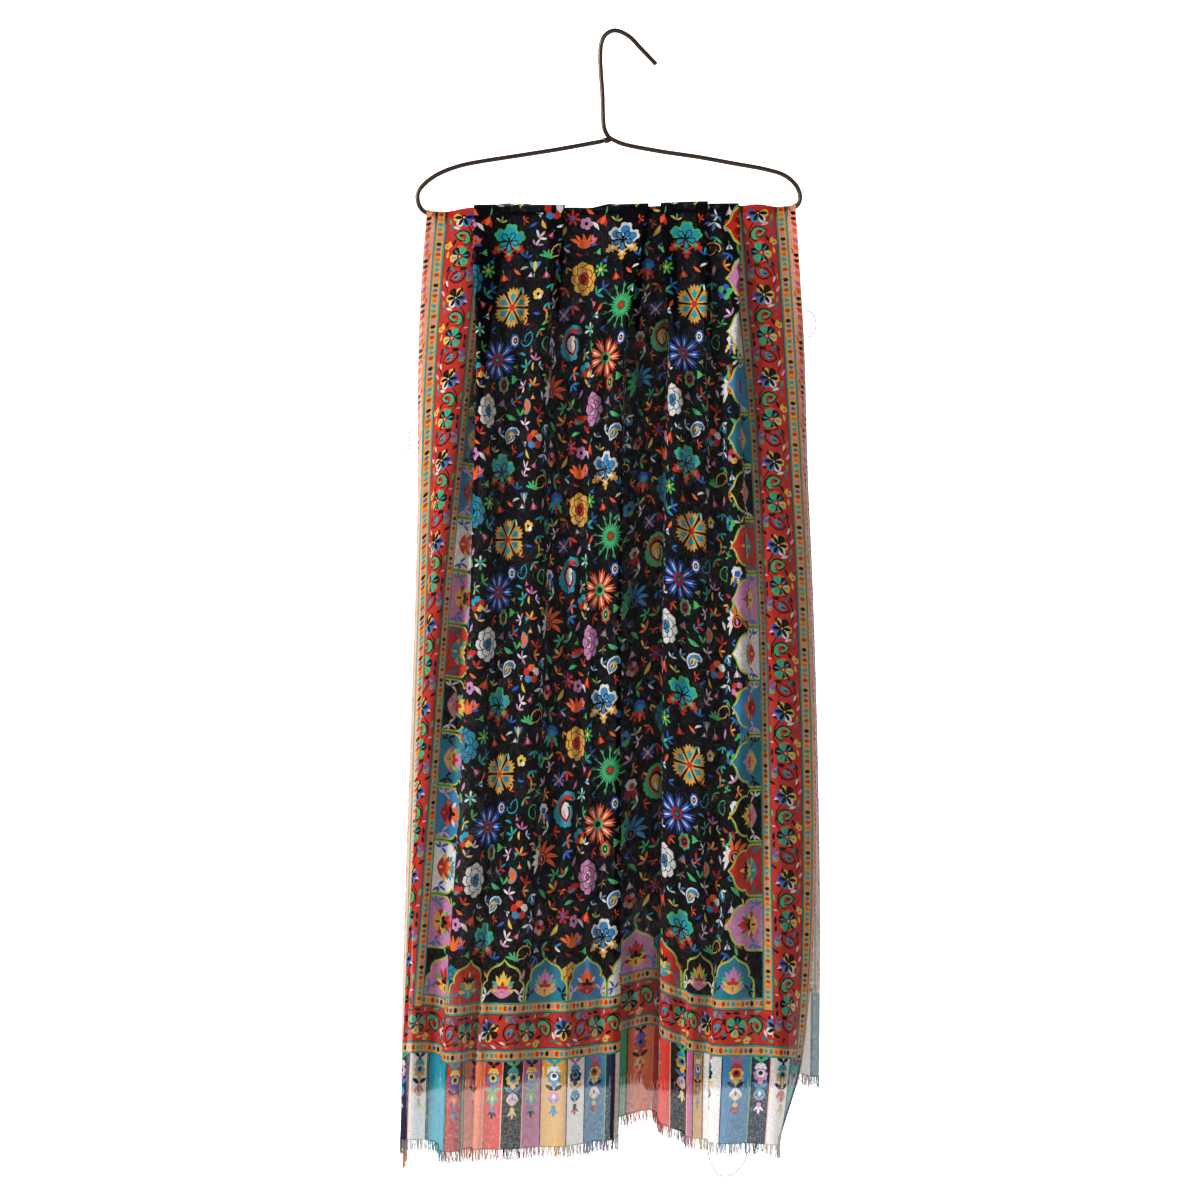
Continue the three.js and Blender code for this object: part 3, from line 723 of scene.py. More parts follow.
EDGE, BEADS, RED = 10.0, 12.5, 37.0
BAND = EDGE + 2 * BEADS + RED  # 72 mm from the edge to the arches
STRIPES = 92.0  # from the hem to the first row of beads
END = STRIPES + 2 * BEADS + RED  # from the hem to the arches
ARCH_TALL = 46.0
SIDE_PITCH, END_PITCH = 57.5, 54.8
BEAD_PITCH = 5.43
BEAD_DYES = ("blue", "black", "pink", "red", "teal", "teal", "orange", "red")


def box(x0, y0, x1, y1):
    """An upright rectangle between two corners."""
    return np.array([(x0, y0), (x1, y0), (x1, y1), (x0, y1)], float)


def bead_band(x0, x1):
    """Ochre between dark and teal lines, with a row of oval beads whose dyes repeat by eights."""
    shape = [("ochre", box(x0, 0, x1, BEADS))]
    for y in (0.0, BEADS - 2.1):
        shape += [("petrol", box(x0, y, x1, y + 2.1)), ("green", box(x0, y + 0.75, x1, y + 1.35))]
    first, last = math.ceil(x0 / BEAD_PITCH), math.floor(x1 / BEAD_PITCH)
    for k in range(first, last):
        dye = BEAD_DYES[k % len(BEAD_DYES)]
        bead = disc(2.2, 3.1, 6 if k % 2 else 4) + ((k + 0.5) * BEAD_PITCH, BEADS / 2)
        shape.append((dye, bead))
    return shape


RED_REPEAT = 89.0
EDGE_REPEAT = 46


def red_repeat():
    """One repeat of the red band: two flowers and two hooked paisleys on a dark vine, with leaves."""
    shape = [("black", stroke([(6, 9), (16, 5), (28, 7), (36, 14)], 1.5))]
    shape += [("black", stroke([(50, 26), (60, 31), (71, 30), (82, 23)], 1.5))]
    for k, dye in enumerate(("blue", "gold", "black", "gold", "white", "steel")):
        petal = [(dye, disc(4.4, 5.2, lobes=3, bite=0.16) + (0, 7.0)), ("black", leaf(9.6, 4.4) + (0, 1))]
        shape += turned(petal, 60 * k, 1, 0, 19)
    shape += [("black", disc(2.8, 2.8, 7) + (0, 19)), ("gold", disc(1.3, 1.3, 6) + (0, 19))]
    shape += turned(paisley("black", "red", "teal", 17, 1.8), 14, 1, 23, 17)
    for k, dye in enumerate(("black", "green", "black", "gold", "black", "green")):
        petal = [(dye, disc(4.6, 5.4, lobes=3, bite=0.2) + (0, 7)), ("teal", leaf(7, 2.2) + (0, 3))]
        shape += turned(petal, 60 * k + 10, 1, 45, 19)
    shape += [("crimson", disc(3.4, 3.4, 8) + (45, 19)), ("gold", disc(1.4, 1.4, 6) + (45, 19))]
    shape += turned(paisley("black", "green", "red", 17, 1.6), -14, 1, 68, 19, -1)
    for x, y, angle, length, dye in (
        (10, 30, 30, 9, "black"), (13, 8, 110, 8, "white"), (33, 29, 200, 9, "black"),
        (35, 8, -40, 9, "petrol"), (29, 5, 60, 8, "black"), (57, 9, 60, 9, "black"), (55, 31, 10, 5, "blush"),
        (79, 8, -20, 9, "white"), (80, 27, 40, 9, "black"), (63, 5, -60, 8, "gold"), (73, 6, 80, 8, "petrol"),
        (32, 34, 100, 8, "black"), (17, 33, 80, 8, "teal"), (83, 33, 150, 8, "blush"),
        (65, 34, 80, 8, "green"), (3, 5, 120, 8, "blush"), (12, 24, -70, 7, "black"),
        (35, 20, 160, 7, "orange"), (57, 21, 190, 7, "orange"), (80, 16, 170, 7, "black"),
        (44, 4, 80, 8, "gold"), (40, 34, 95, 9, "black"), (88, 4, -80, 8, "green"), (16, 3, 90, 8, "orange"),
    ):
        shape += turned([(dye, leaf(length, length * 0.4))], angle, 1, x, y)
    shape += [("green", disc(2.4, 2.4, 7) + (20, 31)), ("red", disc(1.1, 1.1, 5) + (20, 31))]
    shape += turned(sprig(("blue", "teal", "blue"), 3, 7), 150, 1, 26, 33)
    return shape + turned(anemone(("gold",), "red", None, 0.4), 0, 1, 57, 4)


RED_SHAPES = red_repeat()


def red_band(x0, x1, phase):
    """Red between thin dark lines, with as many whole shapes of the repeat as fit, from `phase` on."""
    shape = [("red", box(x0, 0, x1, RED)), ("maroon", box(x0, 0, x1, 0.6))]
    shape.append(("maroon", box(x0, RED - 0.6, x1, RED)))
    first = math.floor((x0 - phase) / RED_REPEAT) - 1
    last = math.ceil((x1 - phase) / RED_REPEAT) + 1
    for k in range(first, last):
        start = k * RED_REPEAT + phase
        for dye, p in RED_SHAPES:
            q = p + (start, 0)
            if q[:, 0].min() > x0 and q[:, 0].max() < x1:
                shape.append((dye, q))
    return shape


def edge_strip(x0, x1):
    """Peach, with broad slanted strokes and pairs of dark drops on its outer side, again and again."""
    shape = [("peach", box(x0, 0, x1, EDGE))]
    for k in range(math.floor(x0 / EDGE_REPEAT), math.ceil(x1 / EDGE_REPEAT)):
        for x, y, angle, length, wide, dye in (
            (1, 0.2, 58, 11, 4.4, "orange"), (9, 0.2, 55, 10, 4.0, "coral"),
            (17, 0.2, 35, 7.5, 4.0, "maroon"), (23, 0.2, 35, 7.5, 4.0, "black"),
            (29, 0.2, 58, 11, 4.4, "orange"), (37, 0.2, 55, 10, 4.0, "rosewood"),
            (7, 5.2, 70, 8, 2.2, "blush"), (27, 5.6, 70, 8, 2.0, "coral"),
        ):
            x += EDGE_REPEAT * k
            if x0 < x and x + length < x1:
                shape += turned([(dye, leaf(length, wide))], angle, 1, x, y)
    return shape


def arch_outline(wide, tall, inset):
    """A cusped arch with its foot on y = 0: upright sides, a small lobe, a large lobe and a pointed top."""
    half = [
        (0.5, 0), (0.5, 0.3), (0.485, 0.4), (0.44, 0.47), (0.385, 0.5), (0.395, 0.6),
        (0.365, 0.7), (0.3, 0.785), (0.21, 0.835), (0.12, 0.875), (0.055, 0.93), (0, 1),
    ]
    right = np.array(half) * (wide, tall)
    centre = np.array([0, tall * 0.42])
    pulled = right + (centre - right) / np.linalg.norm(centre - right, axis=1)[:, None] * inset
    pulled[0, 1] = 0
    pulled[0, 0] = right[0, 0] - inset
    return np.vstack([pulled, (pulled * (-1, 1))[-2::-1]])


# ground, cup, heart, crown, leaves, sides, flourish
ARCH_SETS = [
    ("pink", "gold", "black", "red", "green", "crimson", "steel"),
    ("red", "teal", "gold", "black", "green", "gold", "petrol"),
    ("black", "pink", "red", "gold", "green", "gold", "white"),
    ("petrol", "gold", "red", "pink", "green", "pink", "black"),
    ("steel", "crimson", "black", "orange", "white", "orange", "blush"),
    ("white", "red", "orange", "teal", "teal", "gold", "blue"),
]


def arch(wide, tall, dyes):
    """A cusped arch, edged in lime and gold, that holds a spiked lotus between two flourishes."""
    ground, cup, heart, crown, leaves, sides, flourish = dyes
    shape = [("lime", arch_outline(wide, tall, 0)), ("gold", arch_outline(wide, tall, 1.25))]
    shape.append((ground, arch_outline(wide, tall, 2.5)))
    y = tall * 0.3
    for side in (-1, 1):
        shape += turned([(sides, leaf(15, 6.4, 1.6 * side))], 78 * side, 1, 0, y - 3)
        shape += turned([(leaves, leaf(16.5, 6))], 54 * side, 1, 0, y - 1)
        shape += turned([(crown, leaf(18, 5.6))], 31 * side, 1, 0, y - 1)
        shape += turned([(cup, leaf(14, 4.4))], 66 * side, 1, 0, y - 2)
        shape += turned([(sides, leaf(12.5, 3.6))], 42 * side, 1, 0, y)
        at = (side * wide * 0.36, tall * 0.17)
        for angle, length in ((28, 10), (-46, 9), (150, 9), (104, 7)):
            shape += turned([(flourish, leaf(length, 3.2, 0.9))], angle * side, 1, *at)
    shape += [(sides, leaf(20, 6.4) + (0, y)), (crown, leaf(15, 4) + (0, y))]
    for side in (-1, 1):
        shape += turned([(crown, leaf(15.5, 3.6))], 15 * side, 1, 0, y + 1)
        shape += turned([(cup, leaf(12.5, 6.4, -2.4 * side))], 62 * side, 1, 0, y - 10)
        shape += turned([(heart, leaf(7.5, 4.4))], 74 * side, 1, 0, y + 0.5)
    shape.append((heart, leaf(9.5, 5.4) + (0, y - 1)))
    shape.append((cup, disc(4.6, 5.4, lobes=5, bite=0.15) + (0, y - 4.5)))
    return shape + [(sides, leaf(6.4, 3.4) + (0, y - 8)), (heart, disc(1.2, 1.4, 6) + (0, y - 3))]


# Stripes of the ends, in order: dye, line on the right, and the dyes of the pendant's cap, flower, heart,
# leaves, lily and drops. Each stripe starts at its edge, counted from the cloth's left edge.

STRIPE_ORDER = [
    ("navy", "peach", ("green", "pink", "white", "steel", "teal", "white")),
    ("white", "navy", ("black", "ochre", "teal", "black", "orange", "gold")),
    ("teal", "navy", ("crimson", "pink", "green", "green", "lime", "crimson")),
    ("red", "maroon", ("teal", "blue", "gold", "black", "orange", "steel")),
    ("green", "maroon", None),
    ("salmon", "peach", ("black", "red", "blue", "black", "gold", "red")),
    ("coral", "peach", ("black", "steel", "gold", "green", "green", "black")),
    ("black", "peach", ("green", "gold", "teal", "steel", "blush", "gold")),
    ("rosewood", "maroon", ("black", "steel", "gold", "green", "green", "black")),
    ("ochre", "maroon", ("teal", "steel", "white", "black", "pink", "steel")),
    ("white", "maroon", ("rosewood", "black", "steel", "gold", "steel", "red")),
    ("steel", "lime", ("rosewood", "gold", "red", "black", "white", "red")),
]
STRIPE_EDGES = [
    *(34, 60, 85, 133, 152, 157, 197, 217, 241, 263, 292, 317),
    *(345, 357, 367, 390, 408, 420, 452, 496, 526, 535, 549, 586),
    *(617, 638, 667),
]
STRIPE_TABLE = [(10, "ochre", "maroon", None), (20, "salmon", "peach", None)]
STRIPE_TABLE += [(edge, *STRIPE_ORDER[k % len(STRIPE_ORDER)]) for k, edge in enumerate(STRIPE_EDGES)]


def pendant(dyes, wide):
    """What hangs in a stripe below the beads: a cap, a flower, a pair of leaves, a lily and a few drops."""
    cap, flower, heart, leaves, lily, drops = dyes
    k = min(1.05, wide / 20)
    shape = turned([(cap, leaf(8, 4))], -60, k, 0, -3) + turned([(cap, leaf(8, 4))], 60, k, 0, -3)
    shape += [(cap, leaf(7, 5) * (k, 1) - (0, 9)), (heart, disc(6 * k, 4, lobes=5, bite=0.2) - (0, 9))]
    shape.append((flower, disc(7 * k, 6.4, lobes=7, bite=0.18) - (0, 16)))
    shape += [(heart, disc(4.2 * k, 4, 8) - (0, 15)), ("black", disc(2.2 * k, 2.2, 6) - (0, 14.5))]
    shape.append((flower, leaf(8, 6 * k) - (0, 26)))
    for a in (-58, 58):
        shape += turned([(leaves, leaf(9.5, 4.2))], a, k, 0, -28)
        shape += turned([(lily, leaf(10, 4))], a * 0.62 + 180, k, 0, -28)
        shape += turned([(flower, leaf(7, 2.8))], a * 0.8, k, 0, -40)
        shape += turned([(drops, leaf(6.5, 2.4))], a * 0.75 + 180, k, 0, -45)
    shape += [(lily, leaf(11, 4.6 * k) - (0, 41)), (heart, leaf(5, 3 * k) - (0, 36))]
    shape += [(drops, leaf(7, 3 * k) - (0, 53)), (flower, disc(2.4 * k, 2.6, 6) - (0, 44))]
    return shape


# The last stripes of the back, which are plain
BACK_LAST = [(617, "navy", "peach", None), (646, "white", "navy", None), (686, "teal", "navy", None)]


def stripe_list(table, last):
    """(start, end, dye, line, pendant) of every stripe."""
    ends = [row[0] for row in table[1:]] + [last]
    return [(row[0], end, *row[1:]) for row, end in zip(table, ends)]


FRONT_STRIPES = stripe_list(STRIPE_TABLE, SCARF_WIDTH - EDGE)
BACK_STRIPES = stripe_list(STRIPE_TABLE[:-3] + BACK_LAST, SCARF_WIDTH)


def stripes(rows):
    """The striped end: plain stripes, then the lines between them and the pendants in the wider ones."""
    shape = [("ochre", box(0, 0, EDGE, STRIPES))]
    shape += [(dye, box(start, 0, end, STRIPES)) for start, end, dye, _, _ in rows]
    for start, end, dye, line, dyes in rows:
        if dye in ("teal", "white") and line == "navy":
            shape.append(("navy", box(end - 2.6, 0, end + 0.2, STRIPES)))
            shape.append(("green", box(end - 1.6, 0, end - 1.0, STRIPES)))
        else:
            shape.append((line, box(end - 0.6, 0, end + 0.7, STRIPES)))
        if dyes and end - start > 12:
            middle = (start + end) / 2
            shape += turned(pendant(dyes, end - start - 1), 0, 1.14, middle, STRIPES - 0.5)
    return shape


def in_steps(p):
    """The polygon with its long edges divided, more closely across the cloth, where it bends more."""
    edge = np.abs(np.roll(p, -1, axis=0) - p)
    count = np.ceil(np.maximum(edge[:, 0] / 6, edge[:, 1] / 20)).astype(int)
    if count.max() < 2:
        return p
    ends = np.roll(p, -1, axis=0)
    return np.vstack([mix(a, b, np.arange(n)[:, None] / max(n, 1)) for a, b, n in zip(p, ends, count)])


class Pattern:
    """Polygons in flat coordinates, all anticlockwise, later ones over earlier ones."""

    def __init__(self):
        self.dyes, self.polygons = [], []

    def add(self, shape, place):
        """Each polygon of the shape, moved by the function `place`, with its long edges divided."""
        for dye, p in shape:
            p = in_steps(place(p))
            x, y = p[:, 0], p[:, 1]
            area = (x * np.roll(y, -1) - y * np.roll(x, -1)).sum()
            self.dyes.append(DYE_NAMES.index(dye))
            self.polygons.append(p if area > 0 else p[::-1])


def draw(low, high, field):
    """The pattern of the cloth from w = low to w = high. field is the stretch of w that the field fills."""
    width = SCARF_WIDTH
    art = Pattern()
    art.add([("black", box(0, low, width, high))], lambda p: p)
    # Field
    tiles = filled([tile(0), tile(1)])
    inner = BAND + ARCH_TALL * 0.3
    for i in range(-1, 5):
        for j in range(-6, 5):
            start = np.array([TILE_AT[0] + i * TILE_W, TILE_AT[1] + j * TILE_H])
            for dye, p in tiles[i % 2]:
                q = p + start
                if (q.min(0) > (inner, field[0])).all() and (q.max(0) < (width - inner, field[1])).all():
                    art.add([(dye, q)], lambda p: p)
    # Which way the end lies: e is the distance from the hem, inwards
    hem, way = (high, -1) if high > 0 else (low, 1)
    from_hem = lambda p: p * (1, way) + (0, hem)
    top = high - low
    # Arches at the sides, then across the end
    count = math.ceil((top - END - ARCH_TALL) / SIDE_PITCH)
    for k in range(count):
        e = END + ARCH_TALL + 2 + (k + 0.5) * SIDE_PITCH
        if e + SIDE_PITCH / 2 > top + 30:
            continue
        for side in (0, 1):
            dyes = ARCH_SETS[(k * (1 if side else -1)) % 6]
            shape = arch(SIDE_PITCH - 0.4, 50, dyes)
            foot, way_in = (width - BAND, -1) if side else (BAND, 1)
            art.add(shape, lambda p: from_hem(np.stack([foot + way_in * p[:, 1], e + p[:, 0]], 1)))
    art.add([("black", box(BAND, 0, width - BAND, END + ARCH_TALL * 0.42))], from_hem)
    for k in range(10):
        x = BAND + (k + 0.5) * END_PITCH
        art.add(turned(arch(END_PITCH - 0.4, ARCH_TALL, ARCH_SETS[k % 6]), 0, 1, x, END), from_hem)
    # Bands across the end
    outer, inwards = EDGE + BEADS, EDGE + BEADS + RED
    art.add(stripes(FRONT_STRIPES if high > 0 else BACK_STRIPES), from_hem)
    art.add(turned(bead_band(EDGE, width - EDGE), y=STRIPES), from_hem)
    art.add(turned(red_band(outer, width - EDGE - BEADS, 20), y=STRIPES + BEADS), from_hem)
    art.add(turned(bead_band(inwards, width - BAND + BEADS), y=STRIPES + BEADS + RED), from_hem)
    # Bands along both sides, over them
    for side in (0, 1):
        mirror = (lambda s: width - s) if side else (lambda s: s)
        along = lambda offset: lambda p: from_hem(np.stack([mirror(offset + p[:, 1]), p[:, 0]], 1))
        art.add(edge_strip(0 if high > 0 else STRIPES, top), along(0))
        art.add(bead_band(STRIPES, top), along(EDGE))
        art.add(red_band(STRIPES + BEADS + (0 if side else RED), top, 14), along(outer))
        art.add(bead_band(STRIPES + BEADS + RED, top), along(inwards))
    return art


def triangulate(points, edges, faces, tolerance):
    """Points, edges and triangles of a constrained triangulation, and the inputs that edges and faces come
    from."""
    given = [Vector(p) for p in points.tolist()]
    points, edges, tris, _, *sources = delaunay_2d_cdt(given, edges, faces, 0, tolerance, True)
    return np.array([tuple(v) for v in points]), np.array(edges), np.array(tris), *sources


def half_edges(tris, count):
    """A number for each triangle's three edges in their own direction, and one for the same edges turned."""
    nexts = np.roll(tris, -1, axis=1)
    return tris * count + nexts, nexts * count + tris


def look_up(keys, wanted):
    """Where each wanted number stands among the keys, and whether it is there at all."""
    order = np.argsort(keys)
    at = order[np.minimum(np.searchsorted(keys[order], wanted), len(keys) - 1)]
    return at, keys[at] == wanted


def thinned(flat, tris, dyes, grid):
    """The same dyed areas in fewer triangles: only edges between two dyes are kept, and what lies between
    them is triangulated anew with the grid's points. An area's dye comes from its edges and spreads to its
    inner triangles."""
    ahead, back = (keys.ravel() for keys in half_edges(tris, len(flat)))
    left = np.repeat(dyes, 3)
    twin, paired = look_up(ahead, back)
    right = np.where(paired, left[twin], -1)
    kept = np.flatnonzero((left != right) & (~paired | (ahead < back)))
    left, right = left[kept], right[kept]
    ends = np.stack([tris.ravel()[kept], np.roll(tris, -1, axis=1).ravel()[kept]], 1)
    used, ends = np.unique(ends, return_inverse=True)
    ends = ends.reshape(-1, 2)
    points = np.vstack([flat[used], grid])
    flat, edges, tris, sources, _ = triangulate(points, ends.tolist(), [], 0.001)
    source = np.array([c[0] if c else -1 for c in sources])
    edges, source = edges[source >= 0], source[source >= 0]
    line = points[ends[source, 1]] - points[ends[source, 0]]
    same = ((flat[edges[:, 1]] - flat[edges[:, 0]]) * line).sum(1) > 0
    sides = [np.where(same, left[source], right[source]), np.where(same, right[source], left[source])]
    keys = np.concatenate([edges[:, 0] * len(flat) + edges[:, 1], edges[:, 1] * len(flat) + edges[:, 0]])
    ahead, back = half_edges(tris, len(flat))
    at, marked = look_up(keys, ahead)
    dyes = np.where(marked, np.concatenate(sides)[at], -1).max(1)
    near, paired = look_up(ahead.ravel(), back.ravel())
    own = np.arange(len(tris))[:, None]
    near = np.where(paired.reshape(-1, 3) & ~marked, (near // 3).reshape(-1, 3), own)
    while (dyes < 0).any():
        found = dyes[near].max(1)
        if (found[dyes < 0] < 0).all():
            break
        dyes = np.where(dyes < 0, found, dyes)
    return flat, tris, np.maximum(dyes, 0)


def cut_cloth(name, fall, low, high, field):
    """The cloth of one fall: the pattern's polygons are triangulated together, each triangle takes the dye
    of the last polygon that covers it, and the points are carried onto the hanging form."""
    art = draw(low, high, field)
    sizes = [len(p) for p in art.polygons]
    starts = np.cumsum([0, *sizes[:-1]])
    faces = [list(range(a, a + n)) for a, n in zip(starts.tolist(), sizes)]
    flat, _, tris, _, cover = triangulate(np.vstack(art.polygons), [], faces, 0.02)
    boxes = np.array([(*p.min(0), *p.max(0)) for p in art.polygons])
    on_cloth = np.array([0 in c for c in cover])
    kept = [sorted(c) for c in cover if 0 in c]
    tris = tris[on_cloth]
    middle = flat[tris].mean(1)
    last = np.zeros(len(tris), int)
    for rank in range(max(len(c) for c in kept)):
        which = np.array([c[rank] if rank < len(c) else 0 for c in kept])
        inside = (middle >= boxes[which, :2]).all(1) & (middle <= boxes[which, 2:]).all(1)
        last = np.where(inside & (which > 0), which, last)
    # Points for the cloth to bend at: about 8 by 12 mm apart, and closer near the bar
    rows = np.linspace(low, high, round((high - low) / 12) + 1)
    near_bar = np.array([1.0, 2.0, 3.1, 4.2, 6.0]) * (1 if high > 0 else -1)
    grid = [np.stack(np.meshgrid(np.linspace(0, SCARF_WIDTH, 91), rows), 2).reshape(-1, 2)]
    grid.append(np.stack(np.meshgrid(np.linspace(0, SCARF_WIDTH, 210), near_bar), 2).reshape(-1, 2))
    flat, tris, dyes = thinned(flat, tris, np.array(art.dyes)[last], np.vstack(grid))
    flat[:, 0] = np.clip(flat[:, 0], 0, SCARF_WIDTH)
    flat[:, 1] = np.clip(flat[:, 1], low, high)

    drop = np.abs(flat[:, 1])
    points = fall.points(flat[:, 0], drop)
    # Normals are square to a short step across the form and one down it
    right, left = np.minimum(flat[:, 0] + 1, SCARF_WIDTH), np.maximum(flat[:, 0] - 1, 0)
    across = fall.points(right, drop) - fall.points(left, drop)
    down = fall.points(flat[:, 0], drop + 0.5) - fall.points(flat[:, 0], np.maximum(drop - 0.5, 0))
    normals = np.cross(across, down) * fall.side
    normals = normals / np.linalg.norm(normals, axis=1)[:, None]
    a, b, c = (points[tris[:, k]] for k in range(3))
    wrong = (np.cross(b - a, c - a) * normals[tris[:, 0]]).sum(1) < 0
    tris[wrong] = tris[wrong][:, ::-1]
    mesh = bpy.data.meshes.new(name)
    mesh.from_pydata((points * MM).tolist(), [], tris.tolist())
    uv = mesh.uv_layers.new(name="OFBake")
    loops = tris.ravel()
    share = np.stack([flat[:, 0] / SCARF_WIDTH, (flat[:, 1] - low) / (high - low)], 1)
    uv.data.foreach_set("uv", share[loops].astype(np.float32).ravel())
    dye = mesh.color_attributes.new("dye", "BYTE_COLOR", "CORNER")
    dye.data.foreach_set("color", np.repeat(DYE_COLOURS[dyes], 3, axis=0).astype(np.float32).ravel())
    mesh.polygons.foreach_set("use_smooth", np.ones(len(tris), bool))
    mesh.normals_split_custom_set_from_vertices(normals.tolist())
    mesh.update()
    return piece(name, mesh)


def piece(name, mesh):
    """The object of a finished mesh, which the one body carries."""
    o = bpy.data.objects.new(name, mesh)
    bpy.context.scene.collection.objects.link(o)
    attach(o, "root")
    return o


# Materials


def node(tree, kind, **values):
    """A new node. Each value goes to the input of its name, or else to the node's own setting."""
    n = tree.nodes.new(kind)
    for key, value in values.items():
        if key in n.inputs:
            n.inputs[key].default_value = value
        else:
            setattr(n, key, value)
    return n


def ranged(tree, value, start=0.0, end=1.0, low=0.0, high=1.0):
    """The value carried from start and end to low and high, and held between them."""
    n = node(tree, "ShaderNodeMapRange")
    for key, number in zip(("From Min", "From Max", "To Min", "To Max"), (start, end, low, high)):
        n.inputs[key].default_value = number
    tree.links.new(value, n.inputs["Value"])
    return n.outputs["Result"]


def combined(tree, operation, a, b):
    """Two values added or multiplied. b may be a plain number."""
    n = node(tree, "ShaderNodeMath", operation=operation)
    tree.links.new(a, n.inputs[0])
    if isinstance(b, float):
        n.inputs[1].default_value = b
    else:
        tree.links.new(b, n.inputs[1])
    return n.outputs[0]


def blended(tree, a, b, share):
    """The colour a mixed with b, a plain colour, by the share. a may be plain too."""
    n = node(tree, "ShaderNodeMix", data_type="RGBA")
    if isinstance(a, tuple):
        n.inputs["A"].default_value = a
    else:
        tree.links.new(a, n.inputs["A"])
    n.inputs["B"].default_value = b
    tree.links.new(share, n.inputs["Factor"])
    return n.outputs["Result"]


def principled(name, **values):
    """A material and its Principled shader, whose inputs take the values. _ stands for a space."""
    mat = bpy.data.materials.new(name)
    mat.use_nodes = True
    shader = mat.node_tree.nodes["Principled BSDF"]
    for key, value in values.items():
        shader.inputs[key.replace("_", " ")].default_value = value
    return mat, shader


def yarn_group():
    """How single yarns show: from flat coordinates in millimetres, streaks of lighter and darker yarn both
    ways, the height of the weave, and how closely it is woven."""
    group = bpy.data.node_groups.new("yarns", "ShaderNodeTree")
    group.interface.new_socket("Position", in_out="INPUT", socket_type="NodeSocketVector")
    for name in ("Streaks", "Height", "Closeness"):
        group.interface.new_socket(name, in_out="OUTPUT", socket_type="NodeSocketFloat")
    into, out = group.nodes.new("NodeGroupInput"), group.nodes.new("NodeGroupOutput")
    link = group.links.new
    streaks = []
    for scale in ((1.15, 0.16, 1), (0.16, 1.15, 1)):
        stretch = node(group, "ShaderNodeMapping")
        stretch.inputs["Scale"].default_value = scale
        link(into.outputs["Position"], stretch.inputs["Vector"])
        noise = node(group, "ShaderNodeTexNoise", Scale=1.0, Detail=2.0, Roughness=0.6)
        link(stretch.outputs["Vector"], noise.inputs["Vector"])
        streaks.append(noise.outputs["Fac"])
    half = combined(group, "MULTIPLY", combined(group, "ADD", *streaks), 0.5)
    link(half, out.inputs["Streaks"])
    product = combined(group, "MULTIPLY", *streaks)
    link(ranged(group, product, 0.14, 0.30), out.inputs["Closeness"])
    fine = node(group, "ShaderNodeTexNoise", Scale=1.6, Detail=2.0)
    link(into.outputs["Position"], fine.inputs["Vector"])
    link(combined(group, "ADD", fine.outputs["Fac"], half), out.inputs["Height"])
    return group


def cloth_material(name, yarns, sheer):
    """Dyed yarn: the dye with streaks of lighter and darker yarn, a paler reverse, and gaps between yarns."""
    mat, shader = principled(
        name, Roughness=0.92, Specular_IOR_Level=0.06, Sheen_Weight=0.02, Sheen_Roughness=0.6
    )
    tree = mat.node_tree
    link = tree.links.new
    dye = node(tree, "ShaderNodeVertexColor", layer_name="dye")
    uv = node(tree, "ShaderNodeUVMap", uv_map="OFBake")
    size = node(tree, "ShaderNodeVectorMath", operation="MULTIPLY")
    size.inputs[1].default_value = (SCARF_WIDTH, FRONT_DROP, 1)
    link(uv.outputs["UV"], size.inputs[0])
    group = node(tree, "ShaderNodeGroup", node_tree=yarns)
    link(size.outputs["Vector"], group.inputs["Position"])
    close = group.outputs["Closeness"]
    # Streaks: between darker and lighter than the dye
    toned = node(tree, "ShaderNodeVectorMath", operation="SCALE")
    link(dye.outputs["Color"], toned.inputs[0])
    link(ranged(tree, group.outputs["Streaks"], 0.36, 0.64, 0.74, 1.24), toned.inputs["Scale"])
    # Pale specks where the yarns part
    gaps = ranged(tree, close, 0.0, 0.5, 0.05, 0.0)
    specks = blended(tree, toned.outputs["Vector"], (0.30, 0.32, 0.40, 1), gaps)
    # The reverse is paler and greyer
    side = node(tree, "ShaderNodeNewGeometry")
    behind = combined(tree, "MULTIPLY", side.outputs["Backfacing"], 0.35)
    link(blended(tree, specks, (0.28, 0.25, 0.25, 1), behind), shader.inputs["Base Color"])
    bump = node(tree, "ShaderNodeBump", Strength=0.35, Distance=0.0006)
    link(group.outputs["Height"], bump.inputs["Height"])
    link(bump.outputs["Normal"], shader.inputs["Normal"])
    # Paler yarn is sheerer, and more so where the yarns part
    grey = node(tree, "ShaderNodeRGBToBW")
    link(dye.outputs["Color"], grey.inputs["Color"])
    alpha = ranged(tree, grey.outputs["Val"], low=0.97, high=0.97 - sheer)
    parted = ranged(tree, close, low=0.88)
    link(combined(tree, "MULTIPLY", alpha, parted), shader.inputs["Alpha"])
    return mat


def metal_material():
    """Bronze-brown lacquered wire, with a lighter brown mixed in, in soft random patches, as a painted
    highlight.
    """
    mat, shader = principled("hanger_metal", Metallic=0.85, Roughness=0.34)
    tree = mat.node_tree
    coords = node(tree, "ShaderNodeTexCoord")
    noise = node(tree, "ShaderNodeTexNoise", Scale=60.0, Detail=3.0)
    tree.links.new(coords.outputs["Object"], noise.inputs["Vector"])
    # Painted highlight: a lighter brown mixed into the dark one by noise, in soft random patches
    brown = blended(tree, (0.085, 0.060, 0.046, 1), (0.150, 0.110, 0.088, 1), noise.outputs["Fac"])
    tree.links.new(brown, shader.inputs["Base Color"])
    return mat


# Hanger


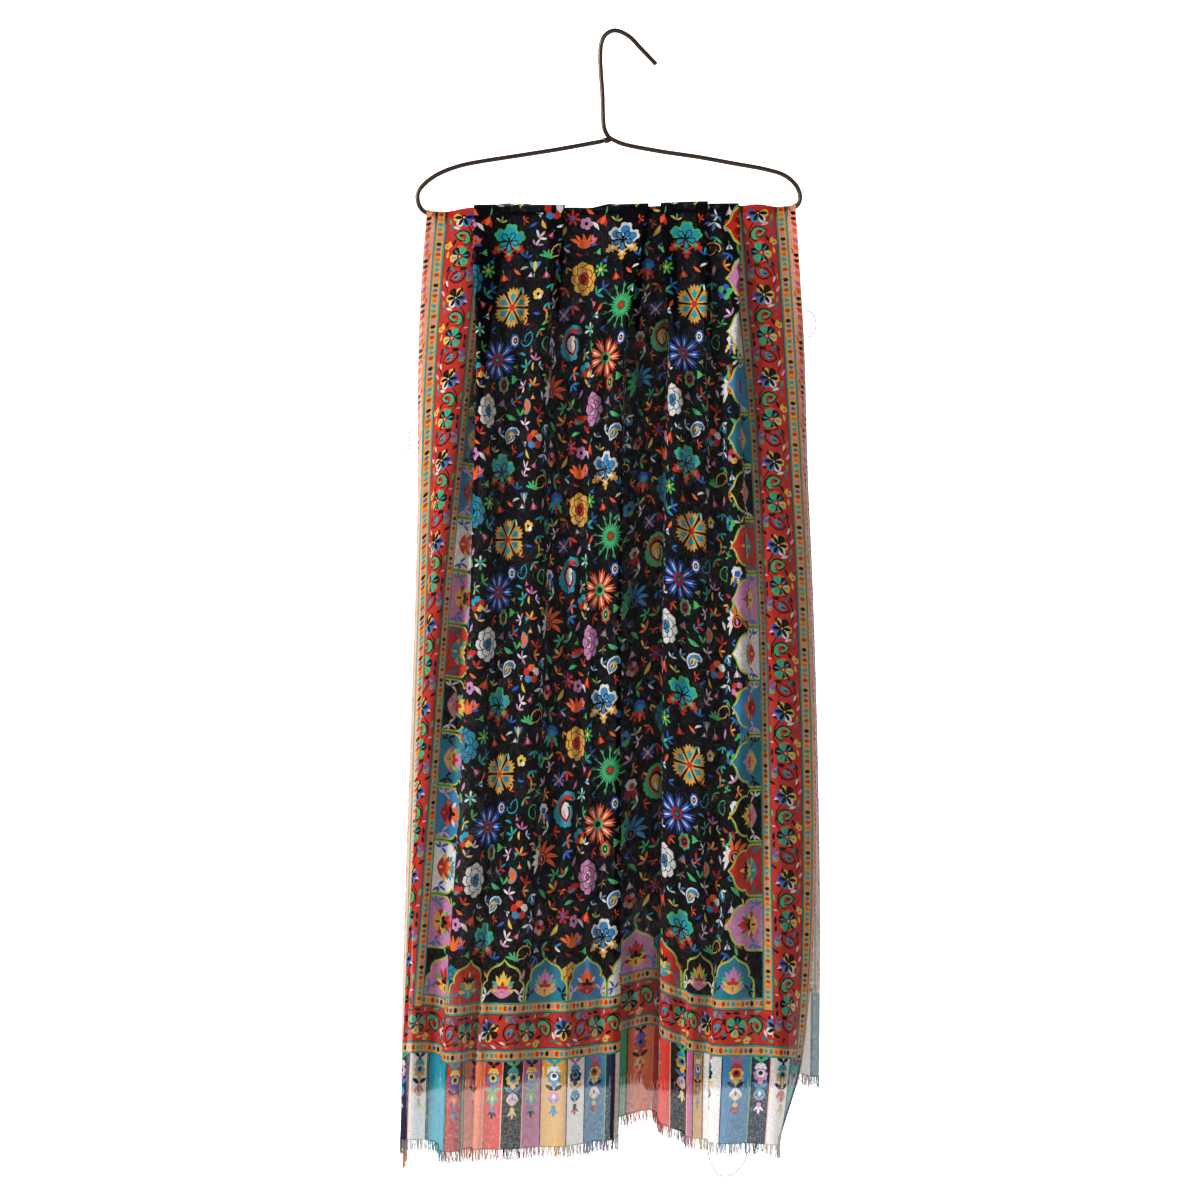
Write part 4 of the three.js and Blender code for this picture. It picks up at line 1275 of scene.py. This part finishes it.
def tube(points, radius, sides):
    """A round tube along points of about the same y: rings square to the path, joined in order, with flat
    ends."""
    along = np.gradient(points, axis=0)
    along /= np.linalg.norm(along, axis=1)[:, None]
    aside = np.stack([-along[:, 2], np.zeros(len(points)), along[:, 0]], 1)
    a = around(sides)
    ring = np.cos(a)[None, :, None] * aside[:, None] + np.sin(a)[None, :, None] * np.array([0, 1, 0])
    verts = (points[:, None] + radius * ring).reshape(-1, 3)
    rows = np.arange(len(points) - 1)[:, None] * sides
    k, n = np.arange(sides)[None], (np.arange(sides)[None] + 1) % sides
    quads = np.stack([rows + k, rows + n, rows + sides + n, rows + sides + k], 2).reshape(-1, 4)
    faces = quads.tolist()
    faces += [list(range(sides))[::-1], list(range(len(verts) - sides, len(verts)))]
    return verts, faces


# The weld: where the wire's end meets the neck, and half its size along, across and up
WELD_AT = (-9.1, 0, -116.5)
WELD_HALF = (5.2, 3.0, 3.0)


def make_hanger():
    """The wire as a tube along its route, and the weld as a rounded lump."""
    count = len(WIRE_ROUTE) - 1
    route = spline(WIRE_ROUTE, np.linspace(0, count, count * 10 + 1))
    route = np.stack([route[:, 0], np.zeros(len(route)), route[:, 1]], 1)
    verts, faces = tube(route, WIRE_DIAMETER / 2, 16)
    a, b = np.meshgrid(around(14), np.linspace(0, math.pi, 9))
    lump = np.stack([np.sin(b) * np.cos(a), np.sin(b) * np.sin(a), np.cos(b)], 2) * WELD_HALF
    lump = (lump + WELD_AT).reshape(-1, 3)
    i, j = np.meshgrid(np.arange(8), np.arange(14), indexing="ij")
    n = (j + 1) % 14
    quads = np.stack([i * 14 + j, (i + 1) * 14 + j, (i + 1) * 14 + n, i * 14 + n], 2).reshape(-1, 4)
    faces += (quads + len(verts)).tolist()
    verts = np.vstack([verts, lump])
    mesh = bpy.data.meshes.new("hanger")
    mesh.from_pydata((verts * MM).tolist(), [], faces)
    mesh.polygons.foreach_set("use_smooth", np.ones(len(faces), bool))
    mesh.update()
    return piece("hanger", mesh)


# Fringe


def strands(paths, radius, colours):
    """Three-sided tapering strands. paths is (strands, points, 3); each strand has its own colour."""
    count, length, _ = paths.shape
    a = around(3)
    ring = np.stack([np.cos(a), np.sin(a), np.zeros(3)], 1)
    taper = np.interp(np.linspace(0, 1, length), [0, 0.7, 1], [1, 0.9, 0.35])
    verts = paths[:, :, None] + radius * taper[None, :, None, None] * ring[None, None]
    verts = verts.reshape(-1, 3)
    base = (np.arange(count)[:, None] * length + np.arange(length - 1)[None]).reshape(-1, 1) * 3
    k, n = np.arange(3)[None], (np.arange(3)[None] + 1) % 3
    quads = np.stack([base + n, base + k, base + 3 + k, base + 3 + n], 2).reshape(-1, 4)
    tips = (np.arange(count) * length + length - 1)[:, None] * 3 + np.array([2, 1, 0])
    return verts, quads.tolist() + tips.tolist(), np.repeat(colours, length * 3, axis=0)


YARN_COUNT = 2200
YARN_RADIUS, THREAD_RADIUS = 0.25, 0.42
TUFT_PITCH = 4.6
SHORTEST, LONGEST = 9.5, 14.0
PALE_SHARE = 0.7
THREAD_COLOUR = (0.10, 0.09, 0.12, 1)


def make_fringe(name, fall, seed, threads=()):
    """Warp ends below the hem, in loose tufts, each dyed like the stripe above it, and loose threads."""
    rng = np.random.default_rng(seed)
    count = YARN_COUNT
    across = np.sort(rng.uniform(0.6, SCARF_WIDTH - 0.6, count))
    # Each yarn leans towards the middle of its tuft, and strays and waves more towards its end
    tuft = np.round(across / TUFT_PITCH) * TUFT_PITCH + rng.normal(0, 0.5, count)
    length = rng.uniform(SHORTEST, LONGEST, count)
    t = np.linspace(0, 1, 5)[None]
    lean = (tuft - across)[:, None] * smooth(t) * rng.uniform(0.2, 1.0, (count, 1))
    stray = rng.normal(0, 1.5, (count, 1)) * t**2 + 0.5 * np.sin(t * 7 + rng.uniform(0, 6, (count, 1))) * t
    s = np.clip(across[:, None] + lean + stray, 0, SCARF_WIDTH)
    root = fall.points(across, np.full(count, fall.drop - 1.2))
    near = fall.points(s.ravel(), np.full(s.size, float(fall.drop))).reshape(count, 5, 3)
    paths = near.copy()
    paths[:, 0] = root
    paths[:, 1:, 2] -= (length[:, None] * t)[:, 1:]
    paths[:, :, 1] += rng.normal(0, 0.7, (count, 1)) * t
    # The dye of the stripe above, mixed with white in most yarns, and peach at the edges
    rows = FRONT_STRIPES if fall.side < 0 else BACK_STRIPES
    starts = np.array([x[0] for x in rows])
    dyes = [DYE_NAMES.index(x[2]) for x in rows]
    which = np.clip(np.searchsorted(starts, across) - 1, 0, len(dyes) - 1)
    colours = DYE_COLOURS[np.array(dyes)[which]]
    pale = rng.uniform(0, 1, count) < PALE_SHARE
    colours = np.where(pale[:, None], mix(colours, DYE_COLOURS[DYE_NAMES.index("white")], 0.6), colours)
    edge = (across < EDGE) | (across > rows[-1][1])
    colours[edge] = DYE_COLOURS[DYE_NAMES.index("peach")]
    verts, faces, tints = strands(paths, YARN_RADIUS, colours)
    for line in threads:
        line = np.array(line, float)
        v, f = tube(spline(line, np.linspace(0, len(line) - 1, len(line) * 6)), THREAD_RADIUS, 4)
        faces += [[k + len(verts) for k in face] for face in f]
        verts = np.vstack([verts, v])
        tints = np.vstack([tints, np.tile(THREAD_COLOUR, (len(v), 1))])
    mesh = bpy.data.meshes.new(name)
    mesh.from_pydata((verts * MM).tolist(), [], faces)
    dye = mesh.color_attributes.new("dye", "BYTE_COLOR", "POINT")
    dye.data.foreach_set("color", tints.astype(np.float32).ravel())
    mesh.update()
    return piece(name, mesh)


def yarn_material():
    """Plain yarn in each strand's own dye."""
    mat, shader = principled("fringe_yarn", Roughness=0.9, Specular_IOR_Level=0.15)
    dye = node(mat.node_tree, "ShaderNodeVertexColor", layer_name="dye")
    mat.node_tree.links.new(dye.outputs["Color"], shader.inputs["Base Color"])
    return mat


# Build

FIELD_FRONT = (-5.0, FRONT_DROP - END - 8)
FIELD_BACK = (-(BACK_DROP - END - 8), 5.0)
cloth_front = cut_cloth("cloth_front", FRONT, 0.0, float(FRONT_DROP), FIELD_FRONT)
cloth_back = cut_cloth("cloth_back", BACK, -float(BACK_DROP), 0.0, FIELD_BACK)
hanger = make_hanger()
# A loop under the hem, and a stray thread at each side, point by point
LOOSE_THREADS = [
    [(99, -40, -1201), (103, -41, -1217), (112, -42, -1228), (124, -42, -1228), (136, -41, -1217),
     (143, -40, -1201)],
    [(207, -14, -303), (212, -14, -304), (216, -14, -312), (216, -14, -322), (211, -14, -330),
     (207, -14, -330)],
    [(-218, -8, -428), (-222, -8, -434), (-221, -8, -444), (-224, -8, -454)],
]
fringe_front = make_fringe("fringe_front", FRONT, 5, LOOSE_THREADS)
fringe_back = make_fringe("fringe_back", BACK, 8)

yarns = yarn_group()
cloth = cloth_material("woven_cloth", yarns, 0.16)
for o in (cloth_front, cloth_back):
    o.data.materials.append(cloth)
fringe_look = yarn_material()
for o in (fringe_front, fringe_back):
    o.data.materials.append(fringe_look)
hanger.data.materials.append(metal_material())

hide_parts("scarf_front_fall")
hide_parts("scarf_back_fall")
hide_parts("front_fringe")
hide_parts("back_fringe")
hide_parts("hanger_wire")

# Studio: a white wall behind, a pale floor below, a soft light from the upper left and a weaker one in front


def studio_paper(name, seen, given):
    """Matt white paper that glows as brightly as `seen` for the camera and `given` for the scarf. From its
    back it is clear."""
    white = (1, 1, 1, 1)
    mat, paper = principled(
        name, Base_Color=(0.9, 0.9, 0.9, 1), Roughness=1.0, Specular_IOR_Level=0.0, Emission_Color=white
    )
    tree = mat.node_tree
    link = tree.links.new
    ray = node(tree, "ShaderNodeLightPath")
    glow = ranged(tree, ray.outputs["Is Camera Ray"], low=given, high=seen)
    link(glow, paper.inputs["Emission Strength"])
    clear = node(tree, "ShaderNodeBsdfTransparent")
    side = node(tree, "ShaderNodeNewGeometry")
    either = node(tree, "ShaderNodeMixShader")
    link(side.outputs["Backfacing"], either.inputs["Fac"])
    link(paper.outputs["BSDF"], either.inputs[1])
    link(clear.outputs["BSDF"], either.inputs[2])
    link(either.outputs["Shader"], tree.nodes["Material Output"].inputs["Surface"])
    return mat


def stage_sheet(name, corners, seen, given):
    """One flat sheet of paper between four corners, which run anticlockwise on the side that shows."""
    mesh = bpy.data.meshes.new(name)
    mesh.from_pydata(corners, [], [(0, 1, 2, 3)])
    mesh.materials.append(studio_paper(name + "_paper", seen, given))
    o = bpy.data.objects.new(name, mesh)
    bpy.context.scene.collection.objects.link(o)


stage_sheet("backdrop", [(-6, 1.6, -6), (6, 1.6, -6), (6, 1.6, 5), (-6, 1.6, 5)], 1.0, 0.35)
stage_sheet("floor", [(-6, -6, -2.1), (6, -6, -2.1), (6, 6, -2.1), (-6, 6, -2.1)], 0.6, 0.0)

world = bpy.data.worlds.new("studio")
bpy.context.scene.world = world
world.use_nodes = True
sky = world.node_tree.nodes["Background"]
sky.inputs["Color"].default_value = (1, 1, 1, 1)
ray = node(world.node_tree, "ShaderNodeLightPath")
strength = ranged(world.node_tree, ray.outputs["Is Camera Ray"], low=0.16)
world.node_tree.links.new(strength, sky.inputs["Strength"])


def softbox(name, place, target, size, power):
    """A rectangular area light at `place` that faces `target`."""
    light = bpy.data.lights.new(name, "AREA")
    light.shape = "RECTANGLE"
    light.size, light.size_y = size
    light.energy = power
    o = bpy.data.objects.new(name, light)
    o.location = place
    o.rotation_euler = (Vector(target) - Vector(place)).to_track_quat("-Z", "Y").to_euler()
    bpy.context.scene.collection.objects.link(o)


softbox("key", (-2.7, -1.5, 0.7), (0, 0, -0.6), (0.7, 1.6), 84)
softbox("fill", (1.2, -3.2, -0.2), (0, 0, -0.6), (1.2, 1.8), 15)

camera = bpy.data.cameras.new("camera")
camera.lens = 89.84
camera.sensor_width = 36
view = bpy.data.objects.new("camera", camera)
view.location = (-0.016, -3.24, -0.6138)
view.rotation_euler = (math.pi / 2, 0, 0)
bpy.context.scene.collection.objects.link(view)
bpy.context.scene.camera = view
bpy.context.scene.view_settings.view_transform = "Standard"
bpy.context.scene.view_settings.look = "Medium High Contrast"
